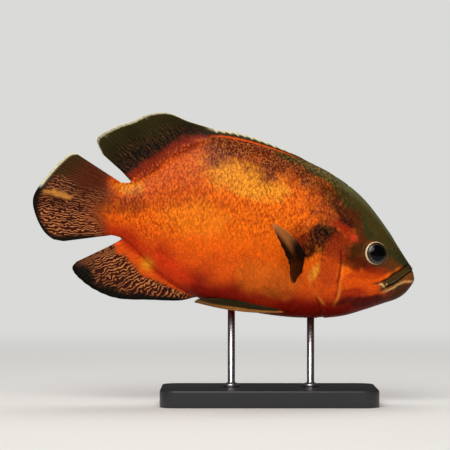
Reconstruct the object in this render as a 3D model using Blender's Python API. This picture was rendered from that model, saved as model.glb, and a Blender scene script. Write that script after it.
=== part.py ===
"""A life-size oscar fish held on a plain display stand, as solid pieces.

Metres, +Z up. The origin is the centre of the stand's underside. The head points along +X and the
fish's right side faces -Y. The fish is drawn in its own frame, hung from an empty that pitches it
nose down: a place on it is how far it lies behind the snout tip, how far out to the side (positive
to the fish's left) and how high above the long axis, which runs through the tail stalk.
"""

import math

import bmesh
import bpy
from mathutils import Matrix, Vector

GAP = 0.0003  # clearance between neighbouring pieces

# Pose on the stand
PITCH = math.radians(10.0)  # nose down
SNOUT_AHEAD = 0.103  # snout tip ahead of the stand's centre
AXIS_HEIGHT = 0.100  # long axis at the snout tip, above the table

# Body: behind the snout, back, belly, half thickness
BODY_STATIONS = (
    (0.0000, -0.0125, -0.0155, 0.0030),
    (0.0018, -0.0078, -0.0200, 0.0066),
    (0.0050, -0.0036, -0.0250, 0.0090),
    (0.0100, 0.0018, -0.0294, 0.0112),
    (0.0180, 0.0105, -0.0337, 0.0140),
    (0.0300, 0.0233, -0.0402, 0.0176),
    (0.0450, 0.0362, -0.0474, 0.0208),
    (0.0620, 0.0458, -0.0518, 0.0230),
    (0.0820, 0.0530, -0.0545, 0.0240),
    (0.1050, 0.0574, -0.0555, 0.0232),
    (0.1300, 0.0605, -0.0546, 0.0210),
    (0.1500, 0.0603, -0.0510, 0.0180),
    (0.1660, 0.0546, -0.0448, 0.0148),
    (0.1810, 0.0430, -0.0366, 0.0115),
    (0.1940, 0.0286, -0.0268, 0.0089),
    (0.2050, 0.0190, -0.0208, 0.0071),
    (0.2150, 0.0172, -0.0198, 0.0056),
    (0.2220, 0.0172, -0.0196, 0.0040),
)
WIDEST_LEVEL = 0.44  # share of the depth, from the belly, where the body is thickest
BELLY_FULLNESS = 0.84  # power of the section's lower half: under 1 is fuller than an ellipse
HEAD_ROUNDNESS = 0.96  # the same for the upper half over the head
BACK_ROUNDNESS = 1.22  # and over the trunk, where the back narrows to a ridge
HEAD_ENDS, BACK_STARTS = 0.040, 0.110
BODY_AROUND, BODY_ALONG = 32, 42
SNOUT_DENSITY = 0.80  # below 1 crowds the rings towards the snout
PAST_FISH = 0.09  # how far above and below the axis the cutting outlines run
AHEAD_OF_SNOUT, BEHIND_TAIL = -0.03, 0.28
FAR_OUT = 0.10  # how far to each side a cutter runs
LINE_STEPS, EDGE_STEPS = 9, 21  # points drawn on a short line and on a gill edge

# Mouth: lines in the side view, as (behind, height)
GAPE = ((-0.0020, -0.0064), (0.0025, -0.0096), (0.0093, -0.0151), (0.0155, -0.0204), (0.0210, -0.0256))
LIP_GROOVE = ((0.0040, 0.0000), (0.0065, -0.0033), (0.0105, -0.0082), (0.0165, -0.0142), (0.0228, -0.0188))
UPPER_LIP = ((0.0022, -0.0046), (0.0085, -0.0117), (0.0160, -0.0178), (0.0215, -0.0222))
LOWER_LIP = ((0.0000, -0.0136), (0.0077, -0.0172), (0.0130, -0.0218), (0.0205, -0.0272))
JAW_JOINT = ((0.0290, -0.0350), (0.0350, -0.0620))
LIP_WIDTH, LIP_RISE = 0.0026, 0.0010
GROOVE_WIDTH, GROOVE_DEPTH = 0.0014, 0.0009
LIP_FADE = 0.003  # how far ahead of the corner of the mouth the lips begin to fade

# Gill cover: its free rear edge, top to bottom, and its front edge on the cheek
GILL_EDGE = (
    (0.0660, 0.0680),
    (0.0715, 0.0380),
    (0.0786, 0.0179),
    (0.0810, 0.0033),
    (0.0790, -0.0069),
    (0.0734, -0.0158),
    (0.0668, -0.0330),
    (0.0600, -0.0460),
    (0.0520, -0.0640),
)
COVER_FRONT = (
    (0.0760, 0.0292),
    (0.0650, 0.0262),
    (0.0560, 0.0165),
    (0.0518, 0.0020),
    (0.0508, -0.0140),
    (0.0524, -0.0280),
    (0.0568, -0.0385),
    (0.0650, -0.0425),
)
COVER_REAR = 0.0900  # the cover's outline runs past the gill opening, which then trims it
COVER_PLATE_IN = 0.0140  # the covers are the head's shell outside this distance from the middle

# Eye: its middle, its radius in the side view and along its own axis
EYE_PLACE = (0.0296, -0.0003)
EYE_RADIUS, EYE_DEPTH = 0.0086, 0.0048
EYE_SUNK = 0.0017  # its middle, under the skin

STALK_FRONT = 0.1930  # where the trunk gives way to the tail stalk

# Unpaired fins: base and margin lines, front to rear (the tail's from top to bottom)
SPINY_DORSAL_BASE = ((0.0830, 0.0522), (0.1050, 0.0564), (0.1300, 0.0595), (0.1530, 0.0588))
SPINY_DORSAL_MARGIN = ((0.0860, 0.0548), (0.1130, 0.0617), (0.1360, 0.0656), (0.1562, 0.0654))
SOFT_DORSAL_BASE = ((0.1536, 0.0570), (0.1660, 0.0510), (0.1810, 0.0395), (0.1930, 0.0265), (0.2040, 0.0170))
SOFT_DORSAL_MARGIN = (
    (0.1572, 0.0654),
    (0.1740, 0.0676),
    (0.1880, 0.0706),
    (0.2009, 0.0675),
    (0.2112, 0.0606),
    (0.2220, 0.0548),
    (0.2334, 0.0448),
    (0.2280, 0.0345),
)
ANAL_BASE = ((0.1520, -0.0480), (0.1670, -0.0415), (0.1815, -0.0335), (0.1940, -0.0242), (0.2035, -0.0188))
ANAL_MARGIN = (
    (0.1540, -0.0553),
    (0.1770, -0.0594),
    (0.2000, -0.0624),
    (0.2170, -0.0592),
    (0.2300, -0.0526),
    (0.2350, -0.0470),
    (0.2330, -0.0424),
)
CAUDAL_BASE = ((0.2150, 0.0150), (0.2130, 0.0050), (0.2130, -0.0080), (0.2150, -0.0176))
CAUDAL_MARGIN = (
    (0.2460, 0.0318),
    (0.2514, 0.0297),
    (0.2600, 0.0185),
    (0.2680, 0.0035),
    (0.2699, -0.0060),
    (0.2660, -0.0160),
    (0.2590, -0.0252),
    (0.2510, -0.0298),
    (0.2440, -0.0298),
)
DORSAL_SPINES, DORSAL_RAYS, ANAL_RAYS, CAUDAL_RAYS = 13, 19, 17, 16
PECTORAL_RAYS, PELVIC_RAYS = 12, 5
FIN_BASE_HALF, FIN_EDGE_HALF = 0.0016, 0.00028  # half thickness at a ray's root and at its tip
SPINE_BASE_HALF, TAIL_BASE_HALF, PAIRED_BASE_HALF = 0.0012, 0.0022, 0.0011  # where a fin's root differs
RAY_RISE = 0.00016  # how far a ray stands out from its web
RAY_FADE = 0.6  # share of that lost at the margin
FIN_TAPER = 1.6  # power of a fin's thinning from root to margin
SPINE_NOTCH = 0.0011  # how far the web dips between the tips of the spines
NOTCH_BEGINS = 0.15  # share of the spiny fin over which the dips grow to that
TAIL_FOLD = 0.0030  # the tail fin's soft fold, out to the right side
TAIL_FOLD_LEVEL, TAIL_FOLD_WIDTH = 0.0020, 0.0100
TAIL_FOLD_BACK = 0.35  # share of the fold that the rest of the fin swings the other way

# Paired fins on the right side, as (behind, out from the middle, height)
PECTORAL_BASE = ((0.0782, 0.0190, -0.0085), (0.0790, 0.0190, -0.0205))
PECTORAL_MARGIN = (
    (0.1015, 0.0560, 0.0098),
    (0.1010, 0.0650, 0.0040),
    (0.0955, 0.0715, -0.0060),
    (0.0915, 0.0700, -0.0160),
    (0.0880, 0.0610, -0.0260),
    (0.0850, 0.0480, -0.0310),
)
PELVIC_BASE = ((0.0840, 0.0098, -0.0500), (0.0905, 0.0080, -0.0480))
PELVIC_MARGIN = (
    (0.1475, 0.0068, -0.0556),
    (0.1440, 0.0062, -0.0530),
    (0.1300, 0.0060, -0.0510),
    (0.1180, 0.0062, -0.0490),
)
PELVIC_SAG = 0.0032  # how far the folded pelvic fin bows below the line from base to tip

# Stand
BASE_SIZE = (0.150, 0.084, 0.012)
BASE_CORNER, BASE_EDGE = 0.012, 0.0015
ROD_RADIUS, COLLAR_RADIUS, COLLAR_HEIGHT = 0.0025, 0.0060, 0.0025
COLLAR_RIM, COLLAR_FILLET = 0.0015, 0.0008  # the collar's upright edge, and its round into the rod
ROD_PLACES = {"stand_rod_front": 0.0290, "stand_rod_rear": -0.0260}  # ahead of the stand's centre
ROD_SIDES = 16

ORANGE = (0.86, 0.27, 0.03)
DEEP_RED = (0.42, 0.05, 0.02)
DARK_FIN = (0.06, 0.045, 0.025)
TAN_FIN = (0.42, 0.18, 0.07)
EYE_BLACK = (0.015, 0.010, 0.010)
BASE_BLACK = (0.035, 0.035, 0.038)
STEEL = (0.62, 0.62, 0.63)


def clear_scene():
    for old in list(bpy.data.objects):
        bpy.data.objects.remove(old)


def finish_material(name, colour, roughness, metallic=0.0):
    material = bpy.data.materials.new(name)
    material.use_nodes = True
    shader = material.node_tree.nodes["Principled BSDF"]
    shader.inputs["Base Color"].default_value = (*colour, 1.0)
    shader.inputs["Roughness"].default_value = roughness
    shader.inputs["Metallic"].default_value = metallic
    return material


def eased(x, low, high):
    """0 below low, 1 above high, and a smooth step between them."""
    t = min(1.0, max(0.0, (x - low) / (high - low)))
    return t * t * (3 - 2 * t)


def on_curve(points, share):
    """The point at that share of a smooth curve through the points."""
    place = min(1.0, max(0.0, share)) * (len(points) - 1)
    i = min(int(place), len(points) - 2)
    f = place - i
    p1, p2 = Vector(points[i]), Vector(points[i + 1])
    p0 = Vector(points[i - 1]) if i > 0 else 2 * p1 - p2
    p3 = Vector(points[i + 2]) if i + 2 < len(points) else 2 * p2 - p1
    bend = 2 * p0 - 5 * p1 + 4 * p2 - p3
    twist = 3 * p1 - p0 - 3 * p2 + p3
    return 0.5 * (2 * p1 + (p2 - p0) * f + bend * f * f + twist * f * f * f)


def curve_points(points, count):
    return [on_curve(points, i / (count - 1)) for i in range(count)]


def distance_to_line(line, behind, height):
    """In the side view, from a point to a smooth line drawn as straight steps."""
    point = Vector((behind, height))
    nearest = math.inf
    for start, end in zip(line, line[1:]):
        step = end - start
        along = min(1.0, max(0.0, (point - start).dot(step) / step.length_squared))
        nearest = min(nearest, (start + along * step - point).length)
    return nearest


def body_point(station_share, angle, grow=0.0):
    """A point of the body's skin: angle 0 is the right side's widest level and 90 degrees the back."""
    behind, back, belly, half = on_curve(BODY_STATIONS, station_share)
    level = belly + WIDEST_LEVEL * (back - belly)
    rise = math.sin(angle)
    if rise > 0:
        flatter = eased(behind, HEAD_ENDS, BACK_STARTS)
        roundness = HEAD_ROUNDNESS + (BACK_ROUNDNESS - HEAD_ROUNDNESS) * flatter
        height = level + (back + grow - level) * rise
    else:
        roundness = BELLY_FULLNESS
        height = level + (level - belly + grow) * rise
    out = (half + grow) * math.copysign(abs(math.cos(angle)) ** roundness, math.cos(angle))
    return Vector((-behind - grow * (2 * station_share - 1), -out, height))


def where(rising, target, low, high):
    """The place between low and high at which a rising function reaches the target."""
    for _ in range(40):
        middle = (low + high) / 2
        low, high = (middle, high) if rising(middle) < target else (low, middle)
    return low


def skin_out(behind, height):
    """How far out the body's skin is at a place of the side view."""
    share = where(lambda s: on_curve(BODY_STATIONS, s)[0], behind, 0.0, 1.0)
    angle = where(lambda a: body_point(share, a).z, height, -math.pi / 2, math.pi / 2)
    return -body_point(share, angle).y


def lip_relief(behind, height):
    """How far the skin stands out for the lips, and in for the groove above them."""
    if behind > JAW_JOINT[0][0]:
        return 0.0
    fade = 1 - eased(behind, GAPE[-1][0] - LIP_FADE, JAW_JOINT[0][0])
    lips = min(distance_to_line(line, behind, height) for line in LIP_LINES[:2])
    groove = distance_to_line(LIP_LINES[2], behind, height)
    rise = LIP_RISE * math.exp(-((lips / LIP_WIDTH) ** 2))
    return fade * (rise - GROOVE_DEPTH * math.exp(-((groove / GROOVE_WIDTH) ** 2)))


LIP_LINES = [curve_points(line, LINE_STEPS) for line in (UPPER_LIP, LOWER_LIP, LIP_GROOVE)]


def place_piece(name, bm, pose, material, smooth=True):
    """Makes the bmesh an object hung from the pose empty."""
    mesh = bpy.data.meshes.new(name)
    bmesh.ops.recalc_face_normals(bm, faces=bm.faces)
    bm.to_mesh(mesh)
    bm.free()
    if smooth:
        mesh.shade_smooth()
        mesh.set_sharp_from_angle(angle=math.radians(40))
    piece = bpy.data.objects.new(name, mesh)
    bpy.context.scene.collection.objects.link(piece)
    piece.parent = pose
    if material is not None:
        mesh.materials.append(material)
    return piece


def as_cutter(piece):
    piece.hide_render = True
    piece.display_type = "WIRE"
    return piece


def cut(piece, other, operation="DIFFERENCE"):
    modifier = piece.modifiers.new(operation.title() + "_" + other.name, "BOOLEAN")
    modifier.operation = operation
    modifier.object = other


def body_mesh(grow=0.0, lips=True):
    """The whole body without fins, as a sphere drawn out along the stations."""
    bm = bmesh.new()
    bmesh.ops.create_uvsphere(bm, u_segments=BODY_AROUND, v_segments=BODY_ALONG, radius=1.0)
    for vertex in bm.verts:
        x, y, z = vertex.co
        share = (math.acos(max(-1.0, min(1.0, z))) / math.pi) ** (1 / SNOUT_DENSITY)
        vertex.co = body_point(share, math.atan2(y, x), grow)
    bmesh.ops.recalc_face_normals(bm, faces=bm.faces)
    bm.normal_update()
    if lips:
        moves = [(v, v.normal * lip_relief(-v.co.x, v.co.z)) for v in bm.verts]
        for vertex, move in moves:
            vertex.co += move
    return bm


def prism(name, outline, pose, out_from=-FAR_OUT, out_to=FAR_OUT):
    """A cutter: a side-view outline drawn across the fish. It is positive out to the right side."""
    bm = bmesh.new()
    face = bm.faces.new([bm.verts.new((-behind, -out_from, height)) for behind, height in outline])
    risen = bmesh.ops.extrude_face_region(bm, geom=[face])["geom"]
    bmesh.ops.translate(
        bm, verts=[v for v in risen if isinstance(v, bmesh.types.BMVert)], vec=(0, out_from - out_to, 0)
    )
    return as_cutter(place_piece(name, bm, pose, None, smooth=False))


def head_outline(shift):
    edge = [(p.x + shift, p.y) for p in curve_points(GILL_EDGE, EDGE_STEPS)]
    above, below = (edge[0][0], PAST_FISH), (edge[-1][0], -PAST_FISH)
    return [(AHEAD_OF_SNOUT, PAST_FISH), above, *edge, below, (AHEAD_OF_SNOUT, -PAST_FISH)]


def jaw_outline(drop):
    gape = [(p.x, p.y - drop) for p in curve_points(GAPE, LINE_STEPS)]
    joint = [(behind - drop, height - drop) for behind, height in JAW_JOINT]
    ahead = (AHEAD_OF_SNOUT, gape[0][1])
    return [ahead, *gape, *joint, (joint[-1][0], -PAST_FISH), (AHEAD_OF_SNOUT, -PAST_FISH)]


def cover_outline(inset):
    """The gill cover between its front edge and the gill opening, run past the head at its rear."""
    front = curve_points(COVER_FRONT, EDGE_STEPS)
    middle = (front[0] + front[-1]) / 2
    inside = [p + inset * (middle - p).normalized() for p in front]
    return [*inside, (COVER_REAR, inside[-1].y), (COVER_REAR, inside[0].y)]


def stalk_outline(shift):
    front = STALK_FRONT + shift
    return [(front, -PAST_FISH), (front, PAST_FISH), (BEHIND_TAIL, PAST_FISH), (BEHIND_TAIL, -PAST_FISH)]


def socket_axis(side):
    """Which way the eye looks: straight out of the skin round it."""
    step = EYE_RADIUS / 2
    behind, height = EYE_PLACE
    along = skin_out(behind + step, height) - skin_out(behind - step, height)
    upward = skin_out(behind, height + step) - skin_out(behind, height - step)
    return Vector((along / (2 * step), -side, -upward / (2 * step))).normalized()


def eye_mesh(side, grow=0.0):
    """A flattened ball whose short axis stands square to the skin. side is 1 for the right eye."""
    bm = bmesh.new()
    bmesh.ops.create_uvsphere(bm, u_segments=16, v_segments=8, radius=1.0)
    bmesh.ops.scale(bm, verts=bm.verts, vec=(EYE_RADIUS + grow, EYE_RADIUS + grow, EYE_DEPTH + grow))
    axis = socket_axis(side)
    middle = Vector((-EYE_PLACE[0], -side * skin_out(*EYE_PLACE), EYE_PLACE[1])) - axis * EYE_SUNK
    turn = axis.to_track_quat("Z", "X").to_matrix().to_4x4()
    bmesh.ops.transform(bm, verts=bm.verts, matrix=Matrix.Translation(middle) @ turn)
    return bm


def fin_mesh(columns, rows, surface, half_thickness):
    """A closed plate over a grid: surface gives its middle, half_thickness how far each face stands off."""
    bm = bmesh.new()
    bmesh.ops.create_grid(bm, x_segments=columns, y_segments=rows, size=0.5)
    copy = bmesh.ops.duplicate(bm, geom=bm.verts[:] + bm.edges[:] + bm.faces[:])
    far_side = {v for v in copy["geom"] if isinstance(v, bmesh.types.BMVert)}
    bmesh.ops.reverse_faces(bm, faces=[f for f in copy["geom"] if isinstance(f, bmesh.types.BMFace)])
    step = 0.01  # of the grid, either side of a vertex, to find which way the surface faces
    for vertex in bm.verts:
        across, along = vertex.co.x + 0.5, vertex.co.y + 0.5
        spread = surface(min(1, across + step), along) - surface(max(0, across - step), along)
        run = surface(across, min(1, along + step)) - surface(across, max(0, along - step))
        normal = spread.cross(run).normalized()
        off = half_thickness(across, along)
        vertex.co = surface(across, along) + normal * (-off if vertex in far_side else off)
    rims = [e for e in bm.edges if e.is_boundary]
    bmesh.ops.bridge_loops(bm, edges=rims)
    return bm


def ray_thickness(rays, base_half):
    """Thick at the root and thin at the margin, and thicker on each ray than on the web between them."""

    def half(across, along):
        on_ray = 0.5 + 0.5 * math.cos(2 * math.pi * across * rays)
        taper = FIN_EDGE_HALF + (base_half - FIN_EDGE_HALF) * (1 - along) ** FIN_TAPER
        return taper + RAY_RISE * on_ray * (1 - RAY_FADE * along)

    return half


def midline_fin(base, margin, sway=None):
    """The middle surface of an unpaired fin, with rays from its base line to its margin."""

    def surface(across, along):
        root, tip = on_curve(base, across), on_curve(margin, across)
        behind, height = root.lerp(tip, along)
        out = sway(height, along) if sway else 0.0
        return Vector((-behind, -out, height))

    return surface


def tail_sway(height, along):
    """The tail fin's fold, which grows towards its margin."""
    ridge = math.exp(-(((height - TAIL_FOLD_LEVEL) / TAIL_FOLD_WIDTH) ** 2))
    return TAIL_FOLD * along * along * (ridge - TAIL_FOLD_BACK)


def spiny_fin(across, along):
    """The low spiny fin, whose margin dips between the tips of the folded spines."""
    tip = on_curve(SPINY_DORSAL_MARGIN, across)
    between = 0.5 - 0.5 * math.cos(2 * math.pi * across * DORSAL_SPINES)
    tip.y -= SPINE_NOTCH * between * eased(across, 0.0, NOTCH_BEGINS)
    behind, height = on_curve(SPINY_DORSAL_BASE, across).lerp(tip, along)
    return Vector((-behind, 0.0, height))


def paired_fin(base, margin, side, sag=0.0):
    """The middle surface of a paired fin. side is 1 for the right one."""

    def surface(across, along):
        root = Vector(base[0]).lerp(Vector(base[1]), across)
        tip = on_curve(margin, across)
        behind, out, height = root.lerp(tip, along)
        height -= sag * math.sin(math.pi * along) * (1 - across)
        return Vector((-behind, -side * out, height))

    return surface


def make_body(pose, skin, jaw_skin):
    """The head, lower jaw, gill covers, trunk and tail stalk, parted from one shape by thin cuts."""
    behind_head = prism("cut_behind_head", head_outline(GAP / 2), pose)
    ahead_of_trunk = prism("keep_head", head_outline(-GAP / 2), pose)
    jaw_gap = prism("cut_jaw", jaw_outline(0.0), pose)
    jaw_keep = prism("keep_jaw", jaw_outline(GAP), pose)
    stalk_gap = prism("cut_stalk", stalk_outline(-GAP / 2), pose)
    stalk_keep = prism("keep_stalk", stalk_outline(GAP / 2), pose)

    head = place_piece("head", body_mesh(), pose, skin)
    cut(head, ahead_of_trunk, "INTERSECT")
    cut(head, jaw_gap)
    jaw = place_piece("lower_jaw", body_mesh(), pose, jaw_skin)
    cut(jaw, jaw_keep, "INTERSECT")
    for side, name in ((1, "right"), (-1, "left")):
        near, far = sorted((side * COVER_PLATE_IN, side * FAR_OUT))
        recess = prism(f"cut_cover_{name}", cover_outline(0.0), pose, near, far)
        inner, outer = sorted((side * (COVER_PLATE_IN + GAP), side * FAR_OUT))
        plate = prism(f"keep_cover_{name}", cover_outline(GAP), pose, inner, outer)
        cover = place_piece(f"gill_cover_{name}", body_mesh(), pose, skin)
        cut(cover, ahead_of_trunk, "INTERSECT")
        cut(cover, plate, "INTERSECT")
        cut(head, recess)
        cut(head, as_cutter(place_piece(f"socket_{name}", eye_mesh(side, GAP), pose, None)))

    trunk = place_piece("trunk", body_mesh(lips=False), pose, skin)
    cut(trunk, behind_head)
    cut(trunk, stalk_gap)
    stalk = place_piece("tail_stalk", body_mesh(lips=False), pose, skin)
    cut(stalk, stalk_keep, "INTERSECT")


def make_eyes(pose, material):
    for side, name in ((1, "eye_right"), (-1, "eye_left")):
        place_piece(name, eye_mesh(side), pose, material)


def make_fins(pose, clearance, dark, tan):
    """Every fin, trimmed to stand clear of the body that it grows from."""
    soft_dorsal = midline_fin(SOFT_DORSAL_BASE, SOFT_DORSAL_MARGIN)
    anal = midline_fin(ANAL_BASE, ANAL_MARGIN)
    caudal = midline_fin(CAUDAL_BASE, CAUDAL_MARGIN, tail_sway)
    unpaired = (
        ("dorsal_fin_spiny", spiny_fin, DORSAL_SPINES, 2, dark, SPINE_BASE_HALF),
        ("dorsal_fin_soft", soft_dorsal, DORSAL_RAYS, 4, dark, FIN_BASE_HALF),
        ("anal_fin", anal, ANAL_RAYS, 4, tan, FIN_BASE_HALF),
        ("caudal_fin", caudal, CAUDAL_RAYS, 5, tan, TAIL_BASE_HALF),
    )
    for name, surface, rays, rows, material, base_half in unpaired:
        bm = fin_mesh(2 * rays, rows, surface, ray_thickness(rays, base_half))
        cut(place_piece(name, bm, pose, material), clearance)
    for side, end in ((1, "right"), (-1, "left")):
        for name, base, margin, rays, sag, material in (
            ("pectoral_fin", PECTORAL_BASE, PECTORAL_MARGIN, PECTORAL_RAYS, 0.0, dark),
            ("pelvic_fin", PELVIC_BASE, PELVIC_MARGIN, PELVIC_RAYS, PELVIC_SAG, dark),
        ):
            surface = paired_fin(base, margin, side, sag)
            bm = fin_mesh(2 * rays, 3, surface, ray_thickness(rays, PAIRED_BASE_HALF))
            cut(place_piece(f"{name}_{end}", bm, pose, material), clearance)


def make_stand(clearance, base_finish, rod_finish):
    """A flat base with rounded corners, and two rods that end just clear of the belly."""
    length, width, thick = BASE_SIZE
    bm = bmesh.new()
    bmesh.ops.create_cube(bm, size=1.0)
    bmesh.ops.scale(bm, verts=bm.verts, vec=BASE_SIZE)
    bmesh.ops.translate(bm, verts=bm.verts, vec=(0, 0, thick / 2))
    posts = [e for e in bm.edges if abs(e.verts[0].co.z - e.verts[1].co.z) > thick / 2]
    bmesh.ops.bevel(bm, geom=posts, offset=BASE_CORNER, segments=6, profile=0.5, affect="EDGES")
    rim = [e for e in bm.edges if all(v.co.z > thick / 2 for v in e.verts)]
    bmesh.ops.bevel(bm, geom=rim, offset=BASE_EDGE, segments=2, profile=0.5, affect="EDGES")
    place_piece("stand_base", bm, None, base_finish)
    for name, ahead in ROD_PLACES.items():
        bm = bmesh.new()
        foot = thick + GAP
        profile = [
            (0, foot),
            (COLLAR_RADIUS, foot),
            (COLLAR_RADIUS, foot + COLLAR_RIM),
            (ROD_RADIUS + COLLAR_FILLET, foot + COLLAR_HEIGHT),
            (ROD_RADIUS, foot + COLLAR_HEIGHT + COLLAR_FILLET),
            (ROD_RADIUS, AXIS_HEIGHT),
            (0, AXIS_HEIGHT),
        ]
        points = [bm.verts.new((ahead + radius, 0, height)) for radius, height in profile]
        line = [bm.edges.new(pair) for pair in zip(points, points[1:])]
        bmesh.ops.spin(
            bm,
            geom=points + line,
            cent=(ahead, 0, 0),
            axis=(0, 0, 1),
            angle=math.tau,
            steps=ROD_SIDES,
            use_merge=True,
        )
        bmesh.ops.remove_doubles(bm, verts=bm.verts, dist=1e-6)
        cut(place_piece(name, bm, None, rod_finish), clearance)


def main():
    clear_scene()
    pose = bpy.data.objects.new("fish_pose", None)
    bpy.context.scene.collection.objects.link(pose)
    pose.rotation_euler = (0, PITCH, 0)
    pose.location = (SNOUT_AHEAD, 0, AXIS_HEIGHT)

    skin = finish_material("orange_skin", ORANGE, 0.38)
    jaw_skin = finish_material("jaw_skin", DEEP_RED, 0.38)
    dark = finish_material("dark_fin", DARK_FIN, 0.45)
    tan = finish_material("patterned_fin", TAN_FIN, 0.45)
    wet_black = finish_material("eye_black", EYE_BLACK, 0.08)
    base_finish = finish_material("base_black", BASE_BLACK, 0.45)
    rod_finish = finish_material("rod_steel", STEEL, 0.28, 1.0)

    clearance = as_cutter(place_piece("body_clearance", body_mesh(grow=GAP, lips=False), pose, None))
    make_body(pose, skin, jaw_skin)
    make_eyes(pose, wet_black)
    make_fins(pose, clearance, dark, tan)
    make_stand(clearance, base_finish, rod_finish)


main()
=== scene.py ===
"""Dresses a life-size oscar fish on its display stand and lights it in a small studio.

The fish's own frame is metres behind the snout tip, out to its side, and high above the long axis that
runs through the tail stalk. It is pitched nose down on the stand, and its right side faces -Y.
"""

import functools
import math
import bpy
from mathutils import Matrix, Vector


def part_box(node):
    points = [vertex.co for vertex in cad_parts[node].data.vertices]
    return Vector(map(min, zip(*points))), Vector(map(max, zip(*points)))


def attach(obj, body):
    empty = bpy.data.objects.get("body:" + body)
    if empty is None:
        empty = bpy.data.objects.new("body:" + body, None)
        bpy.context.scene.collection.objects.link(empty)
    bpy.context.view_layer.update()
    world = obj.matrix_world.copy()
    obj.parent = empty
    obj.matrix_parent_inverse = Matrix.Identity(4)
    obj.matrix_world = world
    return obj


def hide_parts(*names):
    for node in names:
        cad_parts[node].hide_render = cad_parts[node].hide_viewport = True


bl_info = {
    "name": "Oscar Fish",
    "version": (1, 0, 0),
    "blender": (4, 5, 0),
    "location": "3D View > Sidebar > Oscar Fish",
    "description": "Skin, scales, eyes, stand and studio of a life-size oscar fish",
    "category": "Object",
}

import bmesh
import bpy
import numpy as np
from mathutils import Matrix, Vector

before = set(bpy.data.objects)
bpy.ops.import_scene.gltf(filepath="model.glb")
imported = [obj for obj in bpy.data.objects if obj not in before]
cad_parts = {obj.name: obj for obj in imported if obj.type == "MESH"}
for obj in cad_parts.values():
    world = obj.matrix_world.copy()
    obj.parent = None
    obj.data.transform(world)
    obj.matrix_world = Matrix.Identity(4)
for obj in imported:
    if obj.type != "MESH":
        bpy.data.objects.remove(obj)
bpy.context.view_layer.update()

MM = 0.001


def metres(*rows):
    """Rows of millimetres as rows of metres."""
    return tuple(tuple(value * MM for value in row) for row in rows)


FLESH_NODES = (
    "head", "lower_jaw", "gill_cover_right", "gill_cover_left", "trunk", "tail_stalk",
    "dorsal_fin_spiny", "dorsal_fin_soft", "anal_fin", "caudal_fin",
    "pectoral_fin_right", "pectoral_fin_left", "pelvic_fin_right", "pelvic_fin_left",
)
SIDES = ((1, "right"), (-1, "left"))

# Pose on the stand
PITCH = math.radians(10.0)
SNOUT = Vector((0.103, 0.0, 0.100))

# Body: behind the snout, back, belly, half thickness
BODY_STATIONS = metres(
    (0, -12.5, -15.5, 3), (1.8, -7.8, -20, 6.6), (5, -3.6, -25, 9), (10, 1.8, -29.4, 11.2),
    (18, 10.5, -33.7, 14), (30, 23.3, -40.2, 17.6), (45, 36.2, -47.4, 20.8), (62, 45.8, -51.8, 23),
    (82, 53, -54.5, 24), (105, 57.4, -55.5, 23.2), (130, 60.5, -54.6, 21), (150, 60.3, -51, 18),
    (166, 54.6, -44.8, 14.8), (181, 43, -36.6, 11.5), (194, 28.6, -26.8, 8.9), (205, 19, -20.8, 7.1),
    (215, 17.2, -19.8, 5.6), (222, 17.2, -19.6, 4),
)
WIDEST_LEVEL = 0.44
BELLY_FULLNESS, HEAD_ROUNDNESS, BACK_ROUNDNESS = 0.84, 0.96, 1.22
HEAD_ENDS, BACK_STARTS = 0.040, 0.110

# Head: lines in the side view, as (behind, height)
GAPE = metres((-6, -4), (0, -6.8), (4, -9.3), (9.5, -14.4), (13.6, -18.6), (19.3, -22.6), (21.5, -24.5))
LIP_GROOVE = metres(
    (5.2, -3), (7.8, -5.2), (10.5, -8.2), (15.4, -12.6), (19.6, -16.7), (25.3, -20.3), (29.2, -22.1),
)
UPPER_LIP = metres((2, -5.8), (6, -8), (10, -11.5), (15, -16), (19.6, -19.9), (22.2, -22.2))
LOWER_LIP = metres((-3, -13.8), (5.7, -14.9), (9.8, -17.7), (13.2, -20.6), (16.9, -23.3), (21.4, -25.7))
LIP_CREST = metres((-2, -14.9), (5.7, -15.8), (10.1, -18.7), (13.2, -21.4), (16.9, -24.1), (21.4, -26.4))
CORNER_FOLD = metres((24.5, -21.2), (22, -20.9), (20.5, -21.9), (19, -23.3))
CORNER_NOTCH = metres((20.6, -17.8), (20, -19.8), (19.2, -21.6))
CHIN_FOLD = metres((-1, -19.6), (7, -22.2), (13, -26.2), (19, -29.6))
JAW_FOLD = metres((23.5, -26.2), (24.6, -31), (23.6, -35.2), (23, -38))
CHEEK_FOLD = metres((25.5, -26.2), (35, -32.2), (45, -38.8), (52, -40.9))
CHEEK_EDGE = metres((56, 7), (54, 0.3), (52, -10.5), (51.5, -19.7), (51.2, -30.2), (52, -40.9))
COVER_FOLD = metres((74.5, -20.5), (70, -28.3), (65, -38.5), (58.5, -44), (54, -48))
GILL_EDGE = metres(
    (69, 26.2), (76, 21.5), (80, 13), (81.2, 3.3), (79, -6.9), (73.4, -15.8), (68, -30), (62.5, -42),
    (56, -52), (44, -60),
)
# Columns of the skin that follow a line: the line, the column, where it takes hold and where it lets go
HELD_LINES = (
    ((*GAPE[2:], *metres((30, -28.5), (45, -32))), 38, 0.0004, 0.0215),
    ((*LIP_GROOVE, *metres((45, -25))), 56, 0.0030, 0.0270),
)
NOSTRIL = (0.0169, 0.0041)
EYE_PLACE = (0.0296, -0.0003)
HEAD_PORES = metres(
    (12, 0.5), (19.5, -7.5), (25.5, -11.5), (33.5, -11.8), (41.5, -7.5), (43, 4.5), (36, 12.5), (25, 13.5),
    (10.5, -27.5), (17.5, -31.8), (33, -37.5), (43, -42), (47.5, -30), (47, -16),
)
COAT_LINE = metres(
    (64, 90), (60, 60), (55.5, 46), (51.5, 32), (52.5, 22.5), (60, 17.5), (70, 20), (76.5, 18.5),
    (80.5, 11), (81.2, 3.3), (79, -6.9), (73.4, -15.8), (68, -30), (62.5, -42), (56, -52), (44, -62),
    (30, -75),
)

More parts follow.
